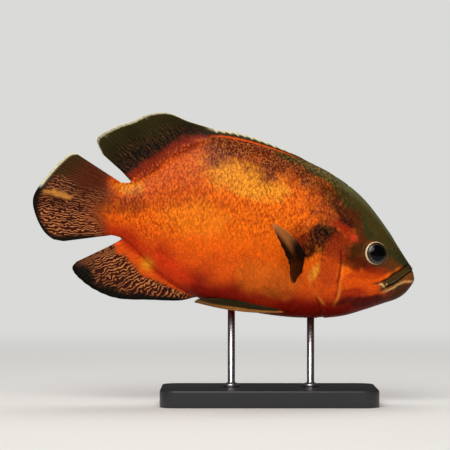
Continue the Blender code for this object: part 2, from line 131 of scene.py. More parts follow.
# Folds and ridges of the face: line, rise in mm, how far it lies to the left of the line, half width, then
# how it fades in behind the snout, in along the line and out along the line, each as (from, to, start, end)
EVEN = (0.0, 1.0, 1.0, 1.0)
FOLDS = (
    (GAPE, -1.70, 0.0, 0.45, (0.5, 9.0, 0.30, 1.0), EVEN, (0.80, 1.00, 1.0, 0.50)),
    (UPPER_LIP, 0.85, 0.0, 2.10, (0.5, 9.0, 0.25, 1.0), EVEN, (0.75, 1.00, 1.0, 0.50)),
    (LOWER_LIP, 0.95, 0.0, 1.90, (0.5, 9.0, 0.25, 1.0), EVEN, (0.80, 1.00, 1.0, 0.50)),
    (LIP_GROOVE, -1.15, 0.0, 0.50, (4.5, 11.0, 0.0, 1.0), EVEN, (0.60, 1.00, 1.0, 0.15)),
    (LIP_GROOVE, 0.45, 1.3, 1.10, EVEN, (0.0, 0.2, 0.0, 1.0), (0.70, 1.00, 1.0, 0.0)),
    (CORNER_FOLD, 0.55, 0.0, 0.75, EVEN, EVEN, EVEN),
    (CORNER_NOTCH, -0.60, 0.0, 0.50, EVEN, EVEN, EVEN),
    (CHIN_FOLD, -0.40, 0.0, 0.75, (0.5, 9.0, 0.0, 1.0), EVEN, (0.60, 1.00, 1.0, 0.0)),
    (JAW_FOLD, -0.35, 0.0, 0.90, EVEN, EVEN, (0.50, 0.95, 1.0, 0.0)),
    (CHEEK_FOLD, -0.50, 0.0, 0.70, EVEN, EVEN, EVEN),
    (CHEEK_EDGE, 0.30, -1.2, 1.40, EVEN, (0.0, 0.25, 0.0, 1.0), EVEN),
    (CHEEK_EDGE, -0.75, 0.2, 0.55, EVEN, (0.0, 0.25, 0.0, 1.0), EVEN),
    (COVER_FOLD, -0.45, 0.0, 0.60, EVEN, EVEN, EVEN),
    (GILL_EDGE, -1.50, 0.35, 0.50, EVEN, (0.0, 0.15, 0.4, 1.0), (0.72, 0.96, 1.0, 0.2)),
)
# Edge of the gill cover, standing up before the slit: rise, half width
GILL_LIP = (0.55, 2.2)
# Soft swellings: middle, half sizes, rise in mm
SWELLINGS = (
    ((40, -20), (10, 11), 0.9),
    ((65, -9), (9, 16), 0.6),
    ((30, 12.5), (11, 4), 0.7),
    ((17, -8), (7, 4), -0.5),
    ((78.5, -17), (5.5, 9), 1.5),
)
# Rings round the eye and the nostril, and the pores: radius, half width and rise in mm
EYE_RINGS = ((9.5, 0.85, 0.45), (11.2, 0.80, -0.25))
NOSTRIL_RINGS = ((1.35, 0.50, 0.30), (0.0, 0.80, -1.3))
PORE_RINGS = ((0.0, 0.42, -0.40),)
SOCKET_DEPTH = 2.3
FACE_ENDS = 0.100

# Unpaired fins: places along the back or belly of the roots, and margin lines
SPINY_ROOTS = (0.0830, 0.1530)
SPINY_MARGIN = metres((86, 54.8), (113, 61.7), (136, 65.6), (156.2, 65.4))
SOFT_ROOTS = (0.1536, 0.1660, 0.1810, 0.1930, 0.2040)
SOFT_MARGIN = metres(
    (157.2, 65.4), (174, 67.6), (188, 70.6), (200.9, 67.5), (211.2, 60.6), (222, 54.8), (233.4, 44.8),
    (228, 34.5),
)
ANAL_ROOTS = (0.1475, 0.1645, 0.1805, 0.1935, 0.2035)
ANAL_MARGIN = metres(
    (147.8, -52.4), (158, -56.5), (177, -59.4), (200, -62.4), (217, -59.2), (230, -52.6), (235, -47),
    (233, -42.4),
)
TAIL_START, TAIL_SPAN = 0.2120, 0.0580
TAIL_MARGIN = metres(
    (246, 31.8), (251.4, 29.7), (260, 18.5), (268, 3.5), (269.9, -6), (266, -16), (259, -25.2),
    (251, -29.8), (244, -29.8),
)
DORSAL_SPINES, DORSAL_RAYS, ANAL_RAYS, TAIL_RAYS = 13, 19, 17, 16
PECTORAL_RAYS, PELVIC_RAYS = 14, 6
# Half thickness of the fins at root and margin, how fast they thin, and the height of the rays on them
ROOT_HALF, TAIL_ROOT_HALF, PECTORAL_ROOT_HALF, PELVIC_ROOT_HALF = 0.0016, 0.0022, 0.0024, 0.0013
MARGIN_HALF, TAPER = 0.00026, 1.6
UNPAIRED_RAY, TAIL_RAY, PAIRED_RAY = 0.00016, 0.00020, 0.00022
# Share of a fin's height that is its rounded rim, and metres over which its root and its ends thicken
RIM, TAIL_RIM = 0.03, 0.015
ROOT_RAMP, END_RAMP = 0.004, 0.0015
# Share of a fin's height that its margin draws in between spines and between rays
SPINE_NOTCH, RAY_NOTCH = 0.34, 0.006
# Fold of the tail fin: how far out, at what height, how wide, and the share by which the rest goes back
TAIL_FOLD, TAIL_FOLD_LEVEL, TAIL_FOLD_WIDTH, TAIL_FOLD_BACK = 0.0030, 0.0020, 0.0100, 0.35

# Paired fins on the right side, as (behind, out, height)
PECTORAL_BASE = metres((76.8, 19, -12), (78.8, 19, -22))
PECTORAL_MARGIN = metres(
    (104, 56, 8), (103.2, 64, 4), (97, 71.2, -5), (89, 71.6, -17), (86.6, 65, -24.5), (85, 56, -29),
    (82.2, 45, -30),
)
PELVIC_BASE = metres((83, 10, -50.8), (90.5, 11.4, -49.5))
PELVIC_MARGIN = metres((147.5, 6.8, -55.6), (144, 8, -52.8), (134, 10.4, -50.2), (122, 13, -48.8))
# How far each fin's first ray and its web bend in their middle, as (behind, out, height)
PECTORAL_BENDS = metres((-2.4, 0, 2.7), (4, 0, 0))
PELVIC_BENDS = metres((0, 0, -3), (0, 1, -0.4))

# Eyes: outline of the right one as (radius, height off the skin)
EYE_OUTLINE = metres(
    (0, -2.8), (8.1, -2.8), (8.2, -1.6), (8.12, -0.8), (7.95, -0.2), (7.7, 0.2), (7.45, 0.44), (7.3, 0.5),
    (7.18, 0.46), (6.6, 0.9), (6.1, 1.2), (5.62, 1.38), (5.5, 1.5), (5.1, 1.8), (4.5, 2.18), (3.5, 2.54),
    (2.5, 2.78), (1.4, 2.94), (0, 3),
)
IRIS_RADIUS, PUPIL_RADIUS = 7.45, 5.70
PUPIL_AHEAD = 0.50  # mm that the pupil stands forward of the eye's middle
PUPIL_BLACK = (0.002, 0.0015, 0.0015)
# From where to where round the eye its pale ring darkens into painted shade, and to what share
RING_SHADE, RING_SHADED = (-0.004, 0.010), 0.30

# Stand: outline of a rod's foot as (radius, height over the base), and how far its top goes into the body
ROD_FOOT = metres(
    (0, 0), (5.8, 0), (6, 0.2), (6, 1.4), (5.7, 1.8), (3.7, 2.4), (2.9, 2.7), (2.5, 3.4),
)
ROD_RADIUS, ROD_BURIED = 0.0025, 0.0012
BASE_CORNER, BASE_RIM, BASE_FOOT = 0.012, 0.0015, 0.0004

# Studio
FLOOR_RADIUS = 40.0
FLOOR_FADE = (0.18, 1.25)  # metres from the middle over which the lit floor turns into the even backdrop
CAMERA_TARGET = Vector((-0.0304, 0.0, 0.1243))
VIEW_WIDTH = 0.3125
LAMPS = (
    ("key", (-0.30, -1.10, 1.15), 1.15, 20.5),
    ("fill", (0.90, -1.00, 0.60), 1.00, 3.2),
    ("top", (0.05, 0.45, 1.20), 0.90, 9.0),
)
LAMP_COLOUR = (1.0, 0.97, 0.93)
LENS, SENSOR = 200.0, 36.0
FILL_LIGHT, MIRRORED_LIGHT = 0.24, 0.06

# Scales
SCALE_REACH, SMALL_REACH = 1.55, 1.50  # length of a scale over the spacing of the rows
SCALE_THICK, SMALL_THICK = 0.00016, 0.00012
SCALE_DOME, SCALE_LIFT = 0.00007, 0.00004  # how far a scale arches, and how much their heights differ
SCALE_OVERLAP = 0.86  # half width of a scale over the spacing of the rows
SMALLEST, LARGEST = 0.92, 1.08  # size of a scale over the usual one
STRAY_ALONG, STRAY_ACROSS = 0.07, 0.05  # how far a scale strays from its place, in spacings
MIDDLE_GAP = 0.0001  # how far scales keep from the fish's middle plane
ROOT_CLEAR = 0.0017  # how far the body's own scales keep from the soft fins' roots
LATTICE_START, LATTICE_ROWS = 0.030, 70  # metres behind the snout, and rows either side of the mid level
# Bake map: size of a scale's patch, margin before and behind the fish, stretch round the body
BAKE_PATCH, BAKE_MARGIN, BAKE_STRETCH = 0.003, 0.02, 3.6

# Mesh of the skin: along the fish, (where a stretch ends, spacing there), and counts round a ring
RING_SPACING = metres(
    (0, 0.36), (40, 0.46), (60, 0.62), (86, 0.7), (96, 1.5), (146, 1.5), (153, 0.7), (212, 0.74),
)
TAIL_RINGS = 50
SIDE_STEPS, DORSAL_STEPS, ANAL_STEPS = 96, 16, 14
COLUMNS_PER_RAY, SLEEVE_ROWS = 4, 20
SKIN_WELD, FINE_WELD = 3e-6, 1e-6  # corners closer than this become one
NO_LENGTH, HAIR = 1e-12, 1e-9
OUTWARDS = (0, 1, 0)
SNOUT_CAP = 0.00015  # how far the closing point of the snout stands before its first ring
DORSAL, ANAL, TAIL, PECTORAL, PELVIC = 1, 2, 3, 4, 5  # kinds of fin, 0 is the body


def srgb(red, green, blue):
    """A linear colour from the 0 to 255 values a screen shows."""
    scaled = [channel / 255 for channel in (red, green, blue)]
    return tuple(c / 12.92 if c <= 0.04045 else ((c + 0.055) / 1.055) ** 2.4 for c in scaled)


def eased(x, low, high, start=0.0, end=1.0):
    """start below low, end above high, and a smooth step between them."""
    t = np.clip((np.asarray(x, float) - low) / (high - low), 0.0, 1.0)
    return start + (end - start) * t * t * (3 - 2 * t)


def bell(distance, width):
    return np.exp(-((distance / width) ** 2))


def rounded(distance, reach):
    """0 at an end, and a round rise to 1 within reach of it."""
    return np.sqrt(np.clip(distance / reach, 0, 1))


def unit(vectors):
    return vectors / np.maximum(np.linalg.norm(vectors, axis=-1, keepdims=True), NO_LENGTH)


def running_total(density, places):
    """How many steps of that density lie before each place."""
    return np.concatenate([[0], np.cumsum(0.5 * (density[1:] + density[:-1]) * np.diff(places))])


def curve(points, shares):
    """The points at those shares of a smooth curve through the points."""
    knots = np.asarray(points, float)
    padded = np.vstack([2 * knots[0] - knots[1], knots, 2 * knots[-1] - knots[-2]])
    place = np.clip(np.asarray(shares, float), 0.0, 1.0) * (len(knots) - 1)
    i = np.minimum(place.astype(int), len(knots) - 2)
    f = (place - i)[..., None]
    p0, p1, p2, p3 = (padded[i + k] for k in range(4))
    bend = 2 * p0 - 5 * p1 + 4 * p2 - p3
    twist = 3 * p1 - p0 - 3 * p2 + p3
    return 0.5 * (2 * p1 + (p2 - p0) * f + bend * f**2 + twist * f**3)


def line_distance(points, behind, height):
    """Millimetres from places in the side view to a smooth line, + on its left, and the share along it."""
    line = curve(points, np.linspace(0, 1, 6 * len(points))) / MM
    behind, height = np.asarray(behind) / MM, np.asarray(height) / MM
    nearest = np.full(np.shape(behind), np.inf)
    signed, share = np.zeros(np.shape(behind)), np.zeros(np.shape(behind))
    for i, ((x0, y0), (x1, y1)) in enumerate(zip(line, line[1:])):
        dx, dy = x1 - x0, y1 - y0
        along = np.clip(((behind - x0) * dx + (height - y0) * dy) / (dx * dx + dy * dy), 0, 1)
        away = np.hypot(behind - x0 - along * dx, height - y0 - along * dy)
        side = np.sign(dx * (height - y0) - dy * (behind - x0))
        closer = away < nearest
        nearest = np.where(closer, away, nearest)
        signed = np.where(closer, side * away, signed)
        share = np.where(closer, (i + along) / (len(line) - 1), share)
    return signed, share


STATION_TABLE = curve(BODY_STATIONS, np.linspace(0, 1, 1801))


def profile(behind):
    """Back, belly and half thickness at a place along the body."""
    return [np.interp(behind, STATION_TABLE[:, 0], STATION_TABLE[:, k]) for k in (1, 2, 3)]


def mid_level(back, belly):
    """The height at which the body is widest."""
    return belly + WIDEST_LEVEL * (back - belly)


def roundness(behind):
    """Power that shapes the upper half of a cross-section: rounder on the head, sharper on the back."""
    return eased(behind, HEAD_ENDS, BACK_STARTS, HEAD_ROUNDNESS, BACK_ROUNDNESS)


def tapered(root_half, along):
    """Half thickness of a fin between its root and its margin, without rays or rim."""
    return MARGIN_HALF + (root_half - MARGIN_HALF) * (1 - along) ** TAPER


def tail_plate(share, drop):
    """Half thickness of the tail fin: share is from its root to its margin, drop from top to bottom."""
    ray = 0.5 * np.cos(2 * math.pi * drop * TAIL_RAYS) * (1 - 0.6 * share)
    edge = np.sqrt(np.clip(1 - np.abs(2 * drop - 1) ** 14, 0, 1))
    return (tapered(TAIL_ROOT_HALF, share) + TAIL_RAY * ray) * edge * rounded(1 - share, TAIL_RIM)


def body_surface(behind, angle):
    """Points of the right half of the body and tail fin, in the fish's frame. -90 degrees is the belly."""
    behind, angle = np.broadcast_arrays(np.asarray(behind, float), np.asarray(angle, float))
    station = np.minimum(behind, TAIL_START)
    back, belly, half = profile(station)
    level = mid_level(back, belly)
    rise = np.sin(angle)
    power = np.where(rise > 0, roundness(station), BELLY_FULLNESS)
    height = level + np.where(rise > 0, back - level, level - belly) * rise
    out = half * np.clip(np.cos(angle), 0, 1) ** power
    share = np.clip((behind - TAIL_START) / TAIL_SPAN, 0, 1)
    drop = (back - height) / (back - belly)
    margin = curve(TAIL_MARGIN, drop)
    fade = eased(share, 0.0, 0.30)
    out = out * (1 - fade) + tail_plate(share, drop) * fade * (share > 0)
    height = height + (margin[..., 1] - height) * share
    along = station + (margin[..., 0] - station) * share
    return along, out, height


def tail_sway(behind, height):
    """How far the tail fin's soft fold stands out of its plane."""
    share = np.clip((behind - TAIL_START) / TAIL_SPAN, 0, 1)
    ridge = bell(height - TAIL_FOLD_LEVEL, TAIL_FOLD_WIDTH)
    return TAIL_FOLD * share**2 * (ridge - TAIL_FOLD_BACK)


def to_world(points):
    """From the fish's frame (behind, out to the right, height) to the world."""
    points = np.asarray(points, float)
    x, y, z = -points[..., 0], -points[..., 1], points[..., 2]
    cos, sin = math.cos(PITCH), math.sin(PITCH)
    return np.stack([cos * x + sin * z + SNOUT.x, y + SNOUT.y, cos * z - sin * x + SNOUT.z], axis=-1)


def ring_places():
    """Where the rings of the skin stand behind the snout: closest together on the head."""
    fine = np.linspace(0, TAIL_START, 8001)
    back, _, half = profile(fine)
    slope = np.maximum(np.abs(np.gradient(back, fine)), np.abs(np.gradient(half, fine)))
    total = running_total(np.sqrt(1 + slope**2) / np.interp(fine, *np.transpose(RING_SPACING)), fine)
    rings = np.interp(np.linspace(0, total[-1], int(total[-1]) + 1), total, fine)
    for place in (SPINY_ROOTS[0], SOFT_ROOTS[-1], ANAL_ROOTS[0], ANAL_ROOTS[-1]):
        rings[np.argmin(np.abs(rings - place))] = place
    tail = TAIL_START + TAIL_SPAN * np.linspace(0, 1, TAIL_RINGS + 1)[1:]
    return np.concatenate([rings, tail])


def fin_ends(behind, roots, ramp):
    """0 off the fin, rising to 1 within ramp of either end of its roots."""
    return rounded(np.minimum(behind - roots[0], roots[-1] - behind), ramp)


def column_density(behind, height):
    """How much closer the skin's columns stand round the mouth and the eye."""
    mouth = np.interp(behind, (0, 0.022), (-0.0080, -0.0250))
    at_mouth = 1.3 * bell(height - mouth, 0.007) * eased(behind, 0.024, 0.034, 1.0, 0.0)
    at_eye = 0.5 * bell(height - EYE_PLACE[1], 0.012) * bell(behind - EYE_PLACE[0], 0.016)
    return 1 + at_mouth + at_eye


def body_columns(rings):
    """Rows of points up the right side of the body, from the anal fin's root to the dorsal fin's."""
    _, _, half = profile(np.minimum(rings, TAIL_START))
    top = ROOT_HALF * fin_ends(rings, (SPINY_ROOTS[0], SOFT_ROOTS[-1]), ROOT_RAMP)
    low = ROOT_HALF * fin_ends(rings, ANAL_ROOTS, ROOT_RAMP)
    high_angle = np.where(top > 0, np.arccos((top / half) ** (1 / roundness(rings))), math.pi / 2)
    low_angle = np.where(low > 0, -np.arccos((low / half) ** (1 / BELLY_FULLNESS)), -math.pi / 2)
    shares = np.linspace(0, 1, SIDE_STEPS + 1)
    rows = []
    for behind, first, last in zip(rings, low_angle, high_angle):
        fine = np.linspace(first, last, 500)
        _, out, height = body_surface(behind, fine)
        density = column_density(behind, height)
        steps = np.hypot(np.diff(out), np.diff(height)) * 0.5 * (density[1:] + density[:-1])
        total = np.concatenate([[0], np.cumsum(steps)])
        total /= total[-1]
        knots = [(0.0, 0.0)]
        for track, column, start, end in HELD_LINES:
            share = column / SIDE_STEPS
            at = np.interp(np.interp(behind, *np.transpose(track)), height, total)
            hold = eased(behind, start, start + 0.0060) * eased(behind, end, end + 0.014, 1.0, 0.0)
            knots.append((share, share + (at - share) * hold))
        knots.append((1.0, 1.0))
        angles = np.interp(np.interp(shares, *np.transpose(knots)), total, fine)
        rows.append(np.stack(body_surface(behind, angles), axis=-1))
    return np.array(rows)


def margin_table(fins):
    """Where each place on the roots has its place on the margin, over fins that follow one another."""
    shares = np.linspace(0, 1, 200)
    tables = []
    for roots, margin in fins:
        along = np.interp(shares, np.linspace(0, 1, len(roots)), roots)
        tables.append(np.column_stack([along, curve(margin, shares)]))
    return np.vstack(tables)


def ray_relief(phase, along):
    """The rays' ridges, 0 to 1: each ray splits in two on its way to the margin."""
    single = np.abs(np.cos(math.pi * phase)) ** 3
    split = np.abs(np.cos(2 * math.pi * phase)) ** 3
    return single + (split - single) * eased(along, 0.40, 0.65)


def soft_notch(phase):
    """Share of a fin's height that its margin draws in between two rays."""
    return RAY_NOTCH * np.sin(math.pi * phase) ** 2


def spiny_notch(phase):
    """The same where the dorsal fin's spines come first, and its margin rises from nothing."""
    between = SPINE_NOTCH * (1 - np.abs(np.cos(math.pi * phase)) ** 0.8) * eased(phase, 0.5, 3.0)
    return np.where(phase < DORSAL_SPINES, 1 - (1 - between) * eased(phase, -0.05, 1.5), soft_notch(phase))


def fin_columns(rings, root, fins, phase, steps, notch):
    """Rows of points from the body's edge up the right face of an unpaired fin."""
    roots = (fins[0][0][0], fins[-1][0][-1])
    shares = np.linspace(0, 1, steps + 1)[1:] ** 0.9
    table = margin_table(fins)
    tip = np.stack([np.interp(rings, table[:, 0], table[:, k]) for k in (1, 2)], axis=-1)
    on_fin = (rings >= roots[0] - HAIR) & (rings <= roots[-1] + HAIR)
    base = root[:, [0, 2]]
    tip = base + (tip - base) * (1 - notch(phase))[:, None]
    flat = base[:, None] + (tip - base)[:, None] * shares[None, :, None]
    rays = (ray_relief(phase[:, None], shares[None]) - 0.4) * (1 - 0.5 * shares)
    half = (tapered(ROOT_HALF, shares) + UNPAIRED_RAY * rays) * rounded(1 - shares, RIM)
    half = half * fin_ends(rings, roots, END_RAMP)[:, None]
    points = np.stack([flat[..., 0], half, flat[..., 1]], axis=-1)
    points[~on_fin] = root[~on_fin][:, None]
    return points, shares, on_fin


def rolling_noise(points, size, seed, waves=28):
    """Smooth noise of about -1 to 1 over points in space, with features of that size."""
    rng = np.random.default_rng(seed)
    way = rng.normal(size=(waves, 3))
    way *= (rng.uniform(0.6, 1.4, waves) / np.linalg.norm(way, axis=1))[:, None]
    turn = rng.uniform(0, math.tau, waves)
    return np.sin(np.asarray(points) @ way.T * (math.pi / size) + turn).sum(axis=-1) / math.sqrt(waves)


def out_at(behind, height):
    """How far out the body's side is at a place in the side view."""
    back, belly, _ = profile(behind)
    level = mid_level(back, belly)
    rise = (height - level) / np.where(height > level, back - level, level - belly)
    return float(body_surface(behind, np.arcsin(rise))[1])


def socket():
    """Middle of the right eye's opening and the way the eye looks, in the fish's frame."""
    behind, height = EYE_PLACE
    step = 0.0043
    along = (out_at(behind + step, height) - out_at(behind - step, height)) / (2 * step)
    up = (out_at(behind, height + step) - out_at(behind, height - step)) / (2 * step)
    return np.array([behind, out_at(behind, height), height]), unit(np.array([-along, 1.0, -up]))


def eye_distance(places):
    """Millimetres from places to the line that the right eye looks along."""
    middle, axis = socket()
    away = places - middle
    return np.linalg.norm(away - (away @ axis)[..., None] * axis, axis=-1) / MM


def ring_relief(distance, rings):
    """Sum of round ridges and pits of that radius, half width and rise."""
    return sum(rise * bell(distance - radius, width) for radius, width, rise in rings)


def face_relief(places):
    """Millimetres the skin stands off the plain body: lips, folds, sockets, pores and muscles."""
    raised = np.zeros(places.shape[:-1])
    face = places[..., 0] < FACE_ENDS
    behind, _, height = places[face].T
    near = {line: line_distance(line, behind, height) for line in {row[0] for row in FOLDS}}
    relief = np.zeros(len(behind))
    for line, rise, offset, width, front, start, end in FOLDS:
        away, share = near[line]
        fade = eased(behind / MM, *front) * eased(share, *start) * eased(share, *end)
        relief += rise * bell(away - offset, width) * fade
    gill, share = near[GILL_EDGE]
    lip = bell(np.minimum(gill + 0.6, 0), GILL_LIP[1]) * (gill < 0.4)
    relief += GILL_LIP[0] * lip * eased(share, 0.0, 0.1) * eased(share, 0.72, 0.96, 1.0, 0.0)

    radius = eye_distance(places[face])
    relief = relief * eased(radius, 8.8, 10.4) - SOCKET_DEPTH * eased(radius, 6.6, 9.0, 1.0, 0.0)
    relief += ring_relief(radius, EYE_RINGS)
    for spot, rings in ((NOSTRIL, NOSTRIL_RINGS), *((pore, PORE_RINGS) for pore in HEAD_PORES)):
        relief += ring_relief(np.hypot(behind - spot[0], height - spot[1]) / MM, rings)
    for (back, up), (length, depth), rise in SWELLINGS:
        relief += rise * bell(np.hypot((behind / MM - back) / length, (height / MM - up) / depth), 1.0)
    raised[face] = relief
    return raised


def directions(points):
    """Which way a grid of points faces, outwards."""
    normal = np.cross(np.gradient(points, axis=1), np.gradient(points, axis=0))
    flat = np.linalg.norm(normal, axis=-1) < NO_LENGTH
    normal = unit(normal)
    normal[flat] = OUTWARDS
    return normal


def rounded_roots(points, on_dorsal, on_anal):
    """Softens the crease where an unpaired fin leaves the body."""
    for column, on_fin in ((ANAL_STEPS + SIDE_STEPS, on_dorsal), (ANAL_STEPS, on_anal)):
        for _ in range(4):
            for at in range(column - 2, column + 3):
                mean = 0.25 * points[:, at - 1] + 0.5 * points[:, at] + 0.25 * points[:, at + 1]
                points[on_fin, at, 1] = mean[on_fin, 1]
    return points


@functools.lru_cache(maxsize=None)
def skin_grid():
    """The right half of the skin as a grid, from the anal fin's margin over the side to the dorsal fin's."""
    rings = ring_places()
    body = body_columns(rings)
    spiny = (rings - SPINY_ROOTS[0]) / (SPINY_ROOTS[1] - SPINY_ROOTS[0]) * DORSAL_SPINES
    soft = np.interp(rings, SOFT_ROOTS, np.linspace(0, DORSAL_RAYS, len(SOFT_ROOTS)))
    dorsal_phase = np.where(rings < SOFT_ROOTS[0], spiny, DORSAL_SPINES + soft)
    anal_phase = np.interp(rings, ANAL_ROOTS, np.linspace(0, ANAL_RAYS, len(ANAL_ROOTS)))
    fins = ((SPINY_ROOTS, SPINY_MARGIN), (SOFT_ROOTS, SOFT_MARGIN))
    dorsal, dorsal_shares, on_dorsal = fin_columns(
        rings, body[:, -1], fins, dorsal_phase, DORSAL_STEPS, spiny_notch
    )
    fins = ((ANAL_ROOTS, ANAL_MARGIN),)
    anal, anal_shares, on_anal = fin_columns(rings, body[:, 0], fins, anal_phase, ANAL_STEPS, soft_notch)
    points = rounded_roots(np.concatenate([anal[:, ::-1], body, dorsal], axis=1), on_dorsal, on_anal)
    count, width = points.shape[:2]

    middle = slice(ANAL_STEPS, ANAL_STEPS + SIDE_STEPS + 1)
    below, above = slice(0, middle.start), slice(middle.stop, width)
    drop = (body[..., 2] - body[:, :1, 2]) / (body[:, -1:, 2] - body[:, :1, 2])
    on_tail = (rings > TAIL_START + HAIR)[:, None]
    along_tail = np.clip((rings - TAIL_START) / TAIL_SPAN, 0, 1)[:, None]
    fin = np.zeros((count, width, 3))
    for part, phase, along, kind in (
        (middle, drop * TAIL_RAYS * on_tail, along_tail * on_tail, TAIL * on_tail),
        (above, dorsal_phase[:, None], dorsal_shares, DORSAL),
        (below, anal_phase[:, None], anal_shares[::-1], ANAL),
    ):
        fin[:, part, 0], fin[:, part, 1], fin[:, part, 2] = phase, along, kind

    facing = directions(points)
    for column, on_fin in ((middle.start, on_anal), (middle.stop - 1, on_dorsal)):
        facing[~on_fin, column, 1] = 0
    facing = unit(facing)
    facing[:, below] = facing[:, above] = OUTWARDS
    relief = np.zeros((count, width))
    relief[:, middle] = face_relief(points[:, middle])
    points = points + facing * relief[..., None] * MM
    points[0] = points[0].mean(axis=0) * (1, 0, 1) - (SNOUT_CAP, 0, 0)

    steps = np.linalg.norm(np.diff(points[..., 1:], axis=1), axis=-1)
    reach = np.concatenate([np.zeros((count, 1)), np.cumsum(steps, axis=1)], axis=1)
    back, belly, _ = profile(np.minimum(rings, TAIL_START))
    at_level = []
    for level, heights, ring_reach in zip(mid_level(back, belly), body[..., 2], reach):
        column = np.interp(level, heights, np.arange(SIDE_STEPS + 1)) + ANAL_STEPS
        at_level.append(np.interp(column, np.arange(width), ring_reach))
    return {
        "rings": rings,
        "points": points,
        "facing": directions(points),
        "reach": reach - np.array(at_level)[:, None],
        "fin": fin,
        "on_dorsal": on_dorsal,
        "on_anal": on_anal,
        "middle": middle,
    }


# Colours

# Patches on the body: middle (mm behind the snout, mm high), half sizes in mm, tilt, colour, strength
PATCHES = (
    # The pale yellow patches high on the middle flank and on top of the tail stalk are partly the fish's
    # yellow and partly painted highlight where the light falls brightest
    ((128, 33), (30, 12), 8, "flank_yellow_and_highlight", 0.85),
    ((158, 2), (26, 14), 0, "flank_yellow_and_highlight", 0.25),
    ((100, -31), (24, 12), 0, "flank_yellow_and_highlight", 0.16),
    ((78, 28), (13, 11), 0, "flank", 0.80),
    ((74, 36), (10, 6), 25, "shoulder", 0.80),
    ((178, 20), (26, 16), -20, "rear_flank", 0.70),
    # Painted highlight on top of the tail stalk, over its own yellow-orange
    ((206, 14), (9, 5), -15, "flank_yellow_and_highlight", 0.62),
    ((208, 3), (15, 9), 0, "stalk", 0.85),
    ((168, -36), (20, 7), 22, "hot_orange", 0.80),
    ((67.5, 6.5), (13.5, 9.5), 5, "blotch", 1.0),
    ((66, 9), (4.5, 3.0), 0, "blotch_heart", 0.80),
    ((76, -4), (11, 11), -30, "blotch", 0.95),
    ((67, -3), (9, 6), 0, "blotch", 0.80),
    ((84, 4), (8, 10), 20, "cheek_brown", 0.60),
    ((52, 20), (12, 9), 20, "temple", 1.0),
    ((61, 26), (14, 9), 38, "temple", 0.97),
    ((70, 20), (10, 7), 20, "shoulder", 0.75),
    ((75, 30), (10, 8), 20, "shoulder", 0.45),
    ((53, -1), (12, 10.5), 0, "cheek_brown", 0.92),
    ((42, -2), (7.5, 8.5), 0, "eye_shade", 0.92),
    ((44, -9.5), (10, 5), 0, "under_eye", 0.85),
    ((29, -10), (12, 5.4), -8, "under_eye", 0.96),
    ((18.5, -6.0), (11, 6.4), -28, "snout_side", 0.98),
    ((22, -0.5), (6, 5.0), 0, "snout_side", 0.95),
    ((39.5, 9.5), (6.5, 9.5), 5, "eye_shade", 0.92),
    ((36, -22.0), (17, 7.0), -12, "cheek", 0.92),
    ((31, -14.5), (15, 4.0), -12, "jaw_red", 0.55),
    ((42, -31), (13, 4.5), -15, "jaw_red", 0.80),
    ((62, -17), (9, 15), 10, "gill_cover", 0.88),
    ((60, -3), (7, 5), 0, "cheek_brown", 0.60),
    ((51.5, 10.5), (11, 3.6), 28, "red_spot", 0.90),
    ((46.6, 7.6), (3.0, 2.4), 10, "red_bright", 0.85),
    # Pale streak on the gill cover's raised edge, partly its own yellow and partly painted highlight; the
    # narrow spot inside it is painted highlight
    ((69.8, -21), (3.2, 10.0), 10, "pale_streak_and_highlight", 0.85),
    ((68.8, -19.5), (1.3, 6.5), 10, "yellow_spot_and_highlight", 0.75),
    ((33, -34.5), (20, 4.6), -15.6, "throat", 0.97),
    ((7.5, -23.5), (16, 8), -37, "chin", 0.97),
    ((223, 10), (2.6, 6.0), 0, "ocellus", 0.85),
)
YELLOW_SPOT, YELLOW_SPOT_WIDTH = (184.0, -35.5), 4.2


def moved(points, back, up):
    """The points of a line moved by millimetres."""
    return tuple((behind + back * MM, height + up * MM) for behind, height in points)


# Lines on the head: points, half width in mm, colour, strength
GROOVE_SHADE_LINES = (
    # Painted shade: dark lines in the gape, the lip groove and the groove behind the cheek's edge
    (GAPE, 0.55, "groove_shade", 0.95),
    (LIP_GROOVE, 0.70, "groove_shade", 0.90),
    (moved(CHEEK_EDGE[1:-1], 1.2, 0), 0.90, "fold", 0.80),
)
PALE_AND_HIGHLIGHT_LINES = (
    # Painted highlight along the middle of the upper lip
    (moved(GAPE[2:-1], -0.5, 2.2), 0.50, "crown_highlight", 0.45),
    # The lip crest: partly cream lip and partly painted highlight
    (LIP_CREST, 0.65, "pale", 0.72),
    # Painted highlights on the small folds at the mouth's corner
    (CORNER_FOLD, 0.75, "pale", 0.95),
    (metres((18.6, -19.2), (18.9, -21.5)), 0.50, "pale", 0.55),
    # Painted highlight on the ridge in front of the cheek's edge
    (moved(CHEEK_EDGE[2:], -0.9, 0), 0.70, "pale_streak_and_highlight", 0.42),
    (metres((68.8, -29.8), (64, -37), (57.5, -41.9)), 0.80, "pale_streak_and_highlight", 0.50),
    # Painted highlight on the lower part of the cheek's ridge
    (metres((49, -26.3), (50.5, -34), (52.7, -41)), 0.80, "pale_streak_and_highlight", 0.50),
)
CROWN_LINE = metres(
    (-2, -6), (8, -6.6), (14.6, -5.4), (20.2, -1.5), (30, 7.2), (36.6, 7.8), (41.5, 15), (46.5, 23.5),
    (55.9, 28.9), (67.9, 37.4), (77.4, 42.7), (91, 48.8), (105, 54), (118, 59),
)

# Colour of the flank at each percent of the depth, from the belly up: darker red towards the belly, partly
# the belly's own red and partly painted shade under the body
FLANK_STOPS = (
    (0, "belly_deep_and_shade"), (9, "belly"), (21, "low_flank"), (34, "mid_flank"), (52, "flank"), (82, "flank"),
    (100, "low_flank"),
)

